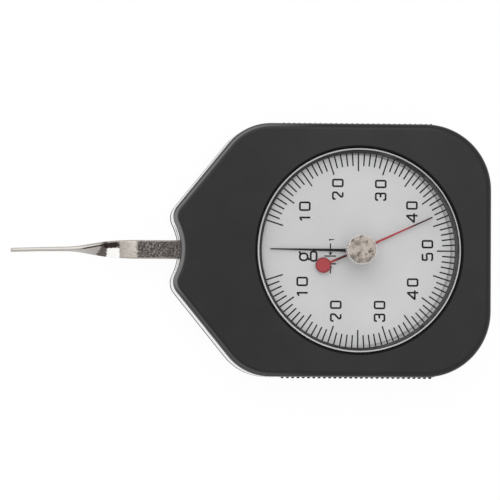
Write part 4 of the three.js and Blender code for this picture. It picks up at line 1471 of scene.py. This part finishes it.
@dataclass
class Lever:
    """The feeler lever: a strip that turns a quarter between the case and its tip."""

    finishes: Finishes
    outline: CaseOutline
    tip_width: float = 3.2 * MM
    tip_thickness: float = 0.95 * MM
    swell: float = 0.12 * MM
    bend: float = 0.37 * MM
    bend_length: float = 19 * MM
    edge: float = 0.42 * MM
    tip_edge: float = 0.18 * MM
    flat_length: float = 11 * MM
    twist_length: float = 17 * MM
    tip_flat: float = 7 * MM
    eye_radius: float = 3.7 * MM
    bore: float = 1.65 * MM
    root_gap: float = 0.3 * MM
    rivet_circle: float = 2.42 * MM
    rivet_hole: float = 0.45 * MM
    rings: int = 60

    def build(self) -> None:
        """Make and dress the lever."""
        self.axis = node_middle("lever_arbor")[0]
        self.reach = node_box("lever")[0].x
        self.bottom = node_box("toothed_sector")[1].z
        self.top, self.middle = self.bottom + LEVER_THICKNESS, self.bottom + LEVER_THICKNESS / 2
        self.twist_start = -self.outline.notch_reach - self.flat_length
        step = self.twist_length / self.rings
        twist = [self.twist_start - step * k for k in range(self.rings + 1)]
        self.places = [*twist, self.reach + self.tip_flat, self.reach]
        blade = self.strip()
        self.turn_rings(blade)
        blade.round_edges(near_x(self.reach), self.tip_edge, 3)
        place = (self.axis, 0)
        eye = Piece.rod("eye", place, self.eye_radius, self.bottom, self.top, ROUND_STEPS)
        blade.combine(Join.WELD, eye)
        under, over = self.bottom - OVERRUN, self.top + OVERRUN
        holes = [Piece.rod("bore", place, self.bore, under, over)]
        for y in (self.rivet_circle, -self.rivet_circle):
            place = (self.axis, y)
            hole = Piece.rod("rivet_hole", place, self.rivet_hole, under, over, SMALL_STEPS // 2)
            holes.append(hole)
        blade.combine(Join.CUT, *holes).smoothed(40)
        blade.dressed(self.finishes["lever"], "lever_steel", "lever", body="feeler")

    def strip(self) -> Piece:
        """The strip, rounded along its edges and narrowing, not yet turned.

        Returns:
            The solid.
        """
        half, start = LEVER_WIDTH / 2, self.axis - self.bore - self.root_gap
        low, high = (self.twist_start, -half, self.bottom), (start, half, self.top)
        strip = Piece.cuboid("lever_blade", low, high).round_edges(along_x, self.edge)
        strip.pick(Pick.FACES, near_x(self.twist_start))
        narrowing = self.reach + self.tip_flat - self.twist_start
        wide, thick = LEVER_WIDTH, LEVER_THICKNESS
        for before, place in zip(self.places, self.places[1:]):
            extrude((place - before, 0, 0))
            share = clamped((place - self.twist_start) / narrowing)
            next_wide = LEVER_WIDTH + (self.tip_width - LEVER_WIDTH) * share
            next_thick = LEVER_THICKNESS + (self.tip_thickness - LEVER_THICKNESS) * share
            next_thick += 4 * self.swell * share * (1 - share)
            scale = (1, next_wide / wide, next_thick / thick)
            bpy.ops.transform.resize(value=scale, center_override=(place, 0, self.middle))
            wide, thick = next_wide, next_thick
        clear_selection()
        return strip

    def turn_rings(self, strip: Piece) -> None:
        """Turn each ring about the strip's middle line, and bend the blade a little towards -Y.

        Args:
            strip: The strip.
        """
        for place in self.places[1:]:
            strip.pick(Pick.CORNERS, near_x(place))
            share = clamped((self.twist_start - place) / self.twist_length)
            turn = QUARTER * share * share * (3 - 2 * share)
            bpy.ops.transform.rotate(
                value=-turn, orient_axis="X", center_override=(place, 0, self.middle),
            )
            beyond = max(self.reach + self.bend_length - place, 0) / self.bend_length
            bpy.ops.transform.translate(value=(0, -self.bend * beyond**2, 0))
        clear_selection()


@dataclass
class Hands:
    """The reading pointer and the maximum pointer."""

    finishes: Finishes
    thickness: float = 0.2 * MM
    seat: float = 0.15 * MM
    soft: float = 0.04 * MM
    reading_widths: tuple[float, float] = (0.8 * MM, 0.25 * MM)
    reading_turn: float = math.radians(-0.75)
    reading_hub: float = 1.1 * MM
    reading_hole: float = 0.5 * MM
    maximum_length: float = 19.95 * MM
    maximum_widths: tuple[float, float] = (0.6 * MM, 0.34 * MM)
    maximum_lean: float = math.radians(1.5)
    maximum_hub: float = 1.6 * MM
    maximum_hole: float = 0.55 * MM
    hub_rise: float = 0.12 * MM
    peg_place: float = 5 * MM
    peg_radius: float = 0.25 * MM

    def build(self) -> None:
        """Make and dress both pointers."""
        self.reading()
        self.maximum()

    def blade(self, name: str, length: float, root: float, tip: float, bottom: float) -> Piece:
        """A tapering blade from the dial's axis along X.

        Args:
            name: The piece's name.
            length: How far it reaches, negative towards -X.
            root: Its width at the axis.
            tip: Its width at its end.
            bottom: Its lower face.

        Returns:
            The solid.
        """
        low, top = (min(0, length), -root / 2, bottom), bottom + self.thickness
        blade = Piece.cuboid(name, low, (max(0, length), root / 2, top))
        blade.pick(Pick.FACES, near_x(length))
        bpy.ops.transform.resize(value=(1, tip / root, 1), center_override=(length, 0, bottom))
        return blade.round_edges(above(top), self.soft, 2)

    def disc(self, name: str, x: float, radius: float, bottom: float, top: float) -> Piece:
        """A round boss or counterweight with a softened upper edge."""
        disc = Piece.rod(name, (x, 0), radius, bottom, top, ROUND_STEPS)
        return disc.round_edges(above(top), self.soft, 2)

    def reading(self) -> None:
        """The black pointer, at zero."""
        low, high = node_box("pointer")
        blade = self.blade("reading_blade", low.x, *self.reading_widths, low.z + self.seat)
        hand = blade.placed("reading_hand", turn=self.reading_turn)
        hand.combine(Join.WELD, self.disc("hub", 0, self.reading_hub, low.z, high.z))
        hole = Piece.rod("hole", (0, 0), self.reading_hole, low.z - OVERRUN, high.z + OVERRUN)
        hand.combine(Join.CUT, hole).smoothed()
        hand.dressed(self.finishes["black"], "black_pointer", "pointer", body="reading_pointer")

    def maximum(self) -> None:
        """The red pointer, with the disc on its tail."""
        low, high = node_box("max_pointer")
        hub_bottom = low.z + self.hub_rise
        bottom = hub_bottom + self.seat
        top, root = bottom + self.thickness, self.maximum_widths[0]
        blade = self.blade("maximum_blade", self.maximum_length, *self.maximum_widths, bottom)
        hand = blade.placed("maximum_hand", turn=self.maximum_lean)
        peg_top, peg_steps = top - self.soft, SMALL_STEPS // 2
        for other in (
            self.blade("tail", WEIGHT_PLACE, root, root, bottom),
            self.disc("weight", WEIGHT_PLACE, WEIGHT_RADIUS, bottom, top),
            self.disc("hub", 0, self.maximum_hub, hub_bottom, high.z),
            Piece.rod("peg", (self.peg_place, 0), self.peg_radius, low.z, peg_top, peg_steps),
        ):
            hand.combine(Join.WELD, other)
        hole = Piece.rod("hole", (0, 0), self.maximum_hole, low.z - OVERRUN, high.z + OVERRUN)
        hand.combine(Join.CUT, hole)
        turned = hand.placed("maximum_pointer_hand", turn=MAXIMUM_TURN).smoothed()
        turned.dressed(self.finishes["red"], "red_pointer", "max_pointer", body="maximum_pointer")


# Strokes of each figure, as shares of its width and height, and the share of the width that
# rounds their corners
FIGURE_SHARES = {
    "0": [([(0.5, 0), (1, 0), (1, 1), (0, 1), (0, 0), (0.5, 0)], 0.2)],
    "1": [([(0.5, -0.07), (0.5, 0.98), (0.1, 0.82)], 0.03)],
    "2": [([(0, 0.72), (0, 1), (1, 1), (1, 0.62), (0.04, 0), (1, 0)], 0.2)],
    "3": [
        ([(0, 0.76), (0, 1), (1, 1), (1, 0.52), (0.4, 0.52)], 0.2),
        ([(0.4, 0.52), (1, 0.52), (1, 0), (0, 0), (0, 0.24)], 0.2),
    ],
    "4": [([(0.88, -0.08), (0.88, 1.04), (-0.14, 0.27), (1.24, 0.27)], 0.04)],
    "5": [
        ([(0.94, 1), (0.06, 1), (0, 0.54)], 0.02),
        ([(0, 0.54), (1, 0.6), (1, 0), (0, 0), (0, 0.16)], 0.22),
    ],
    "g": [
        ([(0.4, 0.5), (0.86, 0.5), (0.86, 0.94), (0, 0.94), (0, 0.5), (0.4, 0.5)], 0.4),
        ([(0.3, 0.5), (0.08, 0.42), (0.3, 0.33)], 0.05),
        ([(0.5, 0.33), (1.08, 0.33), (1.08, 0), (-0.06, 0), (-0.06, 0.33), (0.5, 0.33)], 0.28),
        ([(0.72, 0.9), (1.1, 0.96)], 0),
    ],
}

# Text and middle of each number on the dial, in millimetres
NUMBERS = [
    ("10", -13.15, 9.38), ("20", -5.05, 14.98), ("30", 5.52, 14.8), ("40", 13.22, 9.6),
    ("50", 17.1, 0.12), ("40", 13.48, -9.3), ("30", 5.35, -14.88), ("20", -5.42, -14.88),
    ("10", -13.72, -9.05),
]


@dataclass
class DialPrint:
    """Divisions, figures and marks printed on the dial."""

    finishes: Finishes
    ink_height: float = 0.02 * MM
    line_width: float = 0.34 * MM
    outer: float = 24.6 * MM
    long_inner: float = 19.44 * MM
    short_inner: float = 20.77 * MM
    divisions: int = 100
    figure_width: float = 1.62 * MM
    wide_figure: float = 1.88 * MM
    figure_height: float = 2.42 * MM
    figure_pitch: float = 3.12 * MM
    close_pitch: float = 2.77 * MM
    stroke: float = 0.46 * MM
    unit_size: tuple[float, float] = (2 * MM, 4.4 * MM)
    unit_stroke: float = 0.48 * MM
    unit_place: Point = (-10.2 * MM, -2.5 * MM, 0)
    one_size: tuple[float, float] = (0.8 * MM, 1.1 * MM)
    one_stroke: float = 0.24 * MM
    one_place: Point = (-6 * MM, 2.25 * MM, 0)
    mark_width: float = 0.3 * MM
    gap: tuple[float, float] = (-1.4 * MM, -3.3 * MM)
    gap_line: tuple[float, float] = (-8.3 * MM, -5.4 * MM)
    shafts: tuple[Point, Point] = ((1.7 * MM, -0.4 * MM), (-5.65 * MM, -4 * MM))
    arrows: tuple[Point, Point] = ((-1.25 * MM, -0.5 * MM), (-3.5 * MM, -4.3 * MM))
    arrow_half: float = 0.5 * MM
    arrow_x: float = -6.8 * MM

    def build(self) -> None:
        """Print the dial."""
        self.face = node_box("dial")[1].z
        for parts in (self.scale(), self.figures(), self.marks()):
            joined(parts).dressed(self.finishes["ink"], "black_pointer")

    def line(self, name: str, ends: Point, y: float, width: float) -> Piece:
        """A straight printed line along X.

        Args:
            name: Its name.
            ends: X of its two ends.
            y: Y of its middle line.
            width: Its width.

        Returns:
            The line as a thin solid.
        """
        low = (min(ends), y - width / 2, self.face - self.ink_height / 2)
        high = (max(ends), y + width / 2, self.face + self.ink_height)
        return Piece.cuboid(name, low, high)

    def spun(self, piece: Piece, copies: int, step: float) -> Piece:
        """Repeat a line round the dial.

        Args:
            piece: The line.
            copies: How many more there are.
            step: The angle between two of them.

        Returns:
            The piece, with its copies.
        """
        piece.pick(Pick.FACES)
        bpy.ops.mesh.spin(
            steps=copies, dupli=True, angle=copies * step, center=(0, 0, 0),
            axis=Plane.FLAT.value,
        )
        clear_selection()
        return piece

    def scale(self) -> list[Piece]:
        """The divisions: a long line at each fifth, four short ones between.

        Returns:
            The long lines and the short ones.
        """
        step = TAU / self.divisions
        start, groups = math.pi + 5 * step, self.divisions // 5 - 2
        line = self.line("divisions", (self.long_inner, self.outer), 0, self.line_width)
        long_lines = self.spun(line.placed("scale_lines", turn=start), groups, 5 * step)
        short = self.line("short", (self.short_inner, self.outer), 0, self.line_width)
        group = [short.copied("short_line", turn=start + k * step) for k in (1, 2, 3, 4)]
        short.discard()
        return [long_lines, self.spun(joined(group), groups - 1, 5 * step)]

    def strokes(self, sign: str, size: Point, stroke: float, corner: Point = (0, 0)) -> Piece:
        """A figure drawn with strokes of even width, upright.

        Args:
            sign: The figure.
            size: Its width and its height.
            stroke: The strokes' width.
            corner: X and Y of its lower left corner.

        Returns:
            The figure as a thin solid.
        """
        parts = []
        for chain, rounding in FIGURE_SHARES[sign]:
            points = [(corner[0] + x * size[0], corner[1] + y * size[1], 0) for x, y in chain]
            Pen("stroke", points[0]).rounded(points, rounding * size[0]).piece.cleaned().activate()
            bpy.ops.object.convert(target="CURVE")
            curve = bpy.context.object.data
            curve.bevel_depth, curve.bevel_resolution, curve.use_fill_caps = stroke / 2, 2, True
            bpy.ops.object.convert(target="MESH")
            parts.append(Piece(bpy.context.object, "figure"))
        figure = joined(parts)
        figure.made.scale.z = self.ink_height / (stroke / 2)
        figure.made.location.z = self.face
        return figure.settled()

    def number(self, text: str, x: float, y: float) -> Piece:
        """A number that reads from bottom to top.

        Args:
            text: Its figures.
            x: X of its middle.
            y: Y of its middle.

        Returns:
            The number.
        """
        pitch, width = self.figure_pitch, self.figure_width
        if text.startswith("1"):
            pitch, width = self.close_pitch, self.wide_figure
        size, figures = (width, self.figure_height), []
        for index, sign in enumerate(text):
            left = (index - (len(text) - 1) / 2) * pitch - width / 2
            figures.append(self.strokes(sign, size, self.stroke, (left, -self.figure_height / 2)))
        return joined(figures).placed(f"number_{text}", (x, y, 0), QUARTER)

    def figures(self) -> list[Piece]:
        """The numbers 10 to 50 and back to 10."""
        return [self.number(text, x * MM, y * MM) for text, x, y in NUMBERS]

    def marks(self) -> list[Piece]:
        """The plain unit by the zero, and the mark that shows one division.

        Returns:
            The unit and the mark's pieces.
        """
        unit = self.strokes("g", self.unit_size, self.unit_stroke)
        one = self.strokes("1", self.one_size, self.one_stroke)
        parts = [
            unit.placed("dial_marks", self.unit_place, QUARTER),
            one.placed("one", self.one_place, QUARTER),
        ]
        for ends in self.shafts:
            shaft = self.line("shaft", ends, 0, self.mark_width)
            parts.append(shaft.placed("arrow_shaft", (self.arrow_x, 0, 0), QUARTER))
        for y in self.gap:
            parts.append(self.line("gap_line", self.gap_line, y, self.mark_width))
        x, half, height = self.arrow_x, self.arrow_half, self.face - self.ink_height / 2
        for tip, tail in self.arrows:
            start, *back = (x, tip, height), (x - half, tail, height), (x + half, tail, height)
            parts.append(Pen("arrow", start).line(*back, start).prism(1.5 * self.ink_height))
        return parts


@dataclass
class Movement:
    """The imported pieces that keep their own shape."""

    finishes: Finishes

    def build(self) -> None:
        """Dress the dial and the movement."""
        names = {
            "silver_dial": "dial", "brass": "brass", "bronze": "bronze", "satin_steel": "steel",
            "zinc_steel": "zinc",
        }
        for part in frame["record"]["subparts"]:
            made, slot = frame["nodes"][part["node"]], part["material_slot"]
            if slot in names and not made.hide_render:
                made.data.materials.clear()
                made.data.materials.append(self.finishes[names[slot]])


@dataclass
class Studio:
    """Floor, lamp, world and camera."""

    target: Point = (-26.9 * MM, -0.17 * MM, 14.9 * MM)
    direction: Point = (-0.085, -0.029, 0.996)
    roll: float = math.radians(0.28)
    distance: float = 1.5
    lens: float = 442.6
    sensor: float = 36
    clip: tuple[float, float] = (0.01, 20)
    floor_size: float = 6
    floor_height: float = -0.04 * MM
    floor_colour: Colour = (0.86, 0.86, 0.86)
    floor_roughness: float = 0.9
    floor_glow: float = 1.02
    floor_share: float = 0.93
    sky_strength: float = 0.72
    lamp_place: Point = (-0.15, 0.45, 1.1)
    lamp_size: float = 0.9
    lamp_power: float = 3.4

    def build(self) -> None:
        """Set up the studio."""
        self.camera()
        self.floor()
        self.world()
        self.lamp()

    def stand(
        self, data: bpy.types.ID, place: Vector, way: Vector, right: Vector,
    ) -> bpy.types.Object:
        """Stand a camera or a lamp.

        Args:
            data: The camera or the lamp.
            place: Where it stands.
            way: The direction from what it faces to it.
            right: Its right side.

        Returns:
            The new object.
        """
        made = bpy.data.objects.new(data.name, data)
        bpy.context.scene.collection.objects.link(made)
        made.location = place
        made.rotation_euler = Matrix((right, way.cross(right), way)).transposed().to_euler()
        return made

    def camera(self) -> None:
        """The camera at the photograph's angle."""
        data = bpy.data.cameras.new("camera")
        data.lens, data.sensor_width = self.lens, self.sensor
        data.clip_start, data.clip_end = self.clip
        way = Vector(self.direction).normalized()
        level = Vector((0, 1, 0)).cross(way).normalized()
        right = level * math.cos(self.roll) + way.cross(level) * math.sin(self.roll)
        place = Vector(self.target) + way * self.distance
        bpy.context.scene.camera = self.stand(data, place, way, right)

    def floor(self) -> None:
        """A plain pale floor that keeps a soft shadow."""
        clear_selection()
        bpy.ops.mesh.primitive_plane_add(size=self.floor_size, location=(0, 0, self.floor_height))
        floor = bpy.context.object
        floor.name = "floor"
        graph = Graph(bpy.data.materials.new("pale_floor"))
        graph.set(base_color=(*self.floor_colour, 1), roughness=self.floor_roughness)
        glow = graph.add("ShaderNodeEmission", {}, {"Strength": self.floor_glow})
        graph.show_white(glow, self.floor_share)
        floor.data.materials.append(graph.owner)

    def world(self) -> None:
        """White for what sees the background, and an even grey sky for the light."""
        graph = Graph(bpy.data.worlds.new("studio"))
        bpy.context.scene.world = graph.owner
        white = {"Color": (1, 1, 1, 1), "Strength": 1}
        graph.set(color=white["Color"], strength=self.sky_strength)
        graph.show_white(graph.add("ShaderNodeBackground", {}, white), 1)

    def lamp(self) -> None:
        """A soft lamp that faces the gauge."""
        data = bpy.data.lights.new("top_lamp", "AREA")
        data.shape, data.energy = "RECTANGLE", self.lamp_power
        data.size = data.size_y = self.lamp_size
        place = Vector(self.lamp_place)
        way = (place - Vector(self.target)).normalized()
        self.stand(data, place, way, Vector((0, 0, 1)).cross(way).normalized())


def main() -> None:
    """Build the gauge and its studio."""
    logging.basicConfig(level=logging.INFO, format="%(name)s: %(message)s")
    bpy.context.scene.view_settings.view_transform = "Standard"
    finishes = Finishes()
    outline = CaseOutline()
    sections = [
        Studio(), Case(outline, finishes), Crystal(finishes), ResetKnob(finishes),
        Lever(finishes, outline), Hands(finishes), DialPrint(finishes), Movement(finishes),
    ]
    for section in sections:
        section.build()
        log.info("built %s", type(section).__name__)
    clear_selection()
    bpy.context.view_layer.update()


if __name__ == "__main__":
    main()
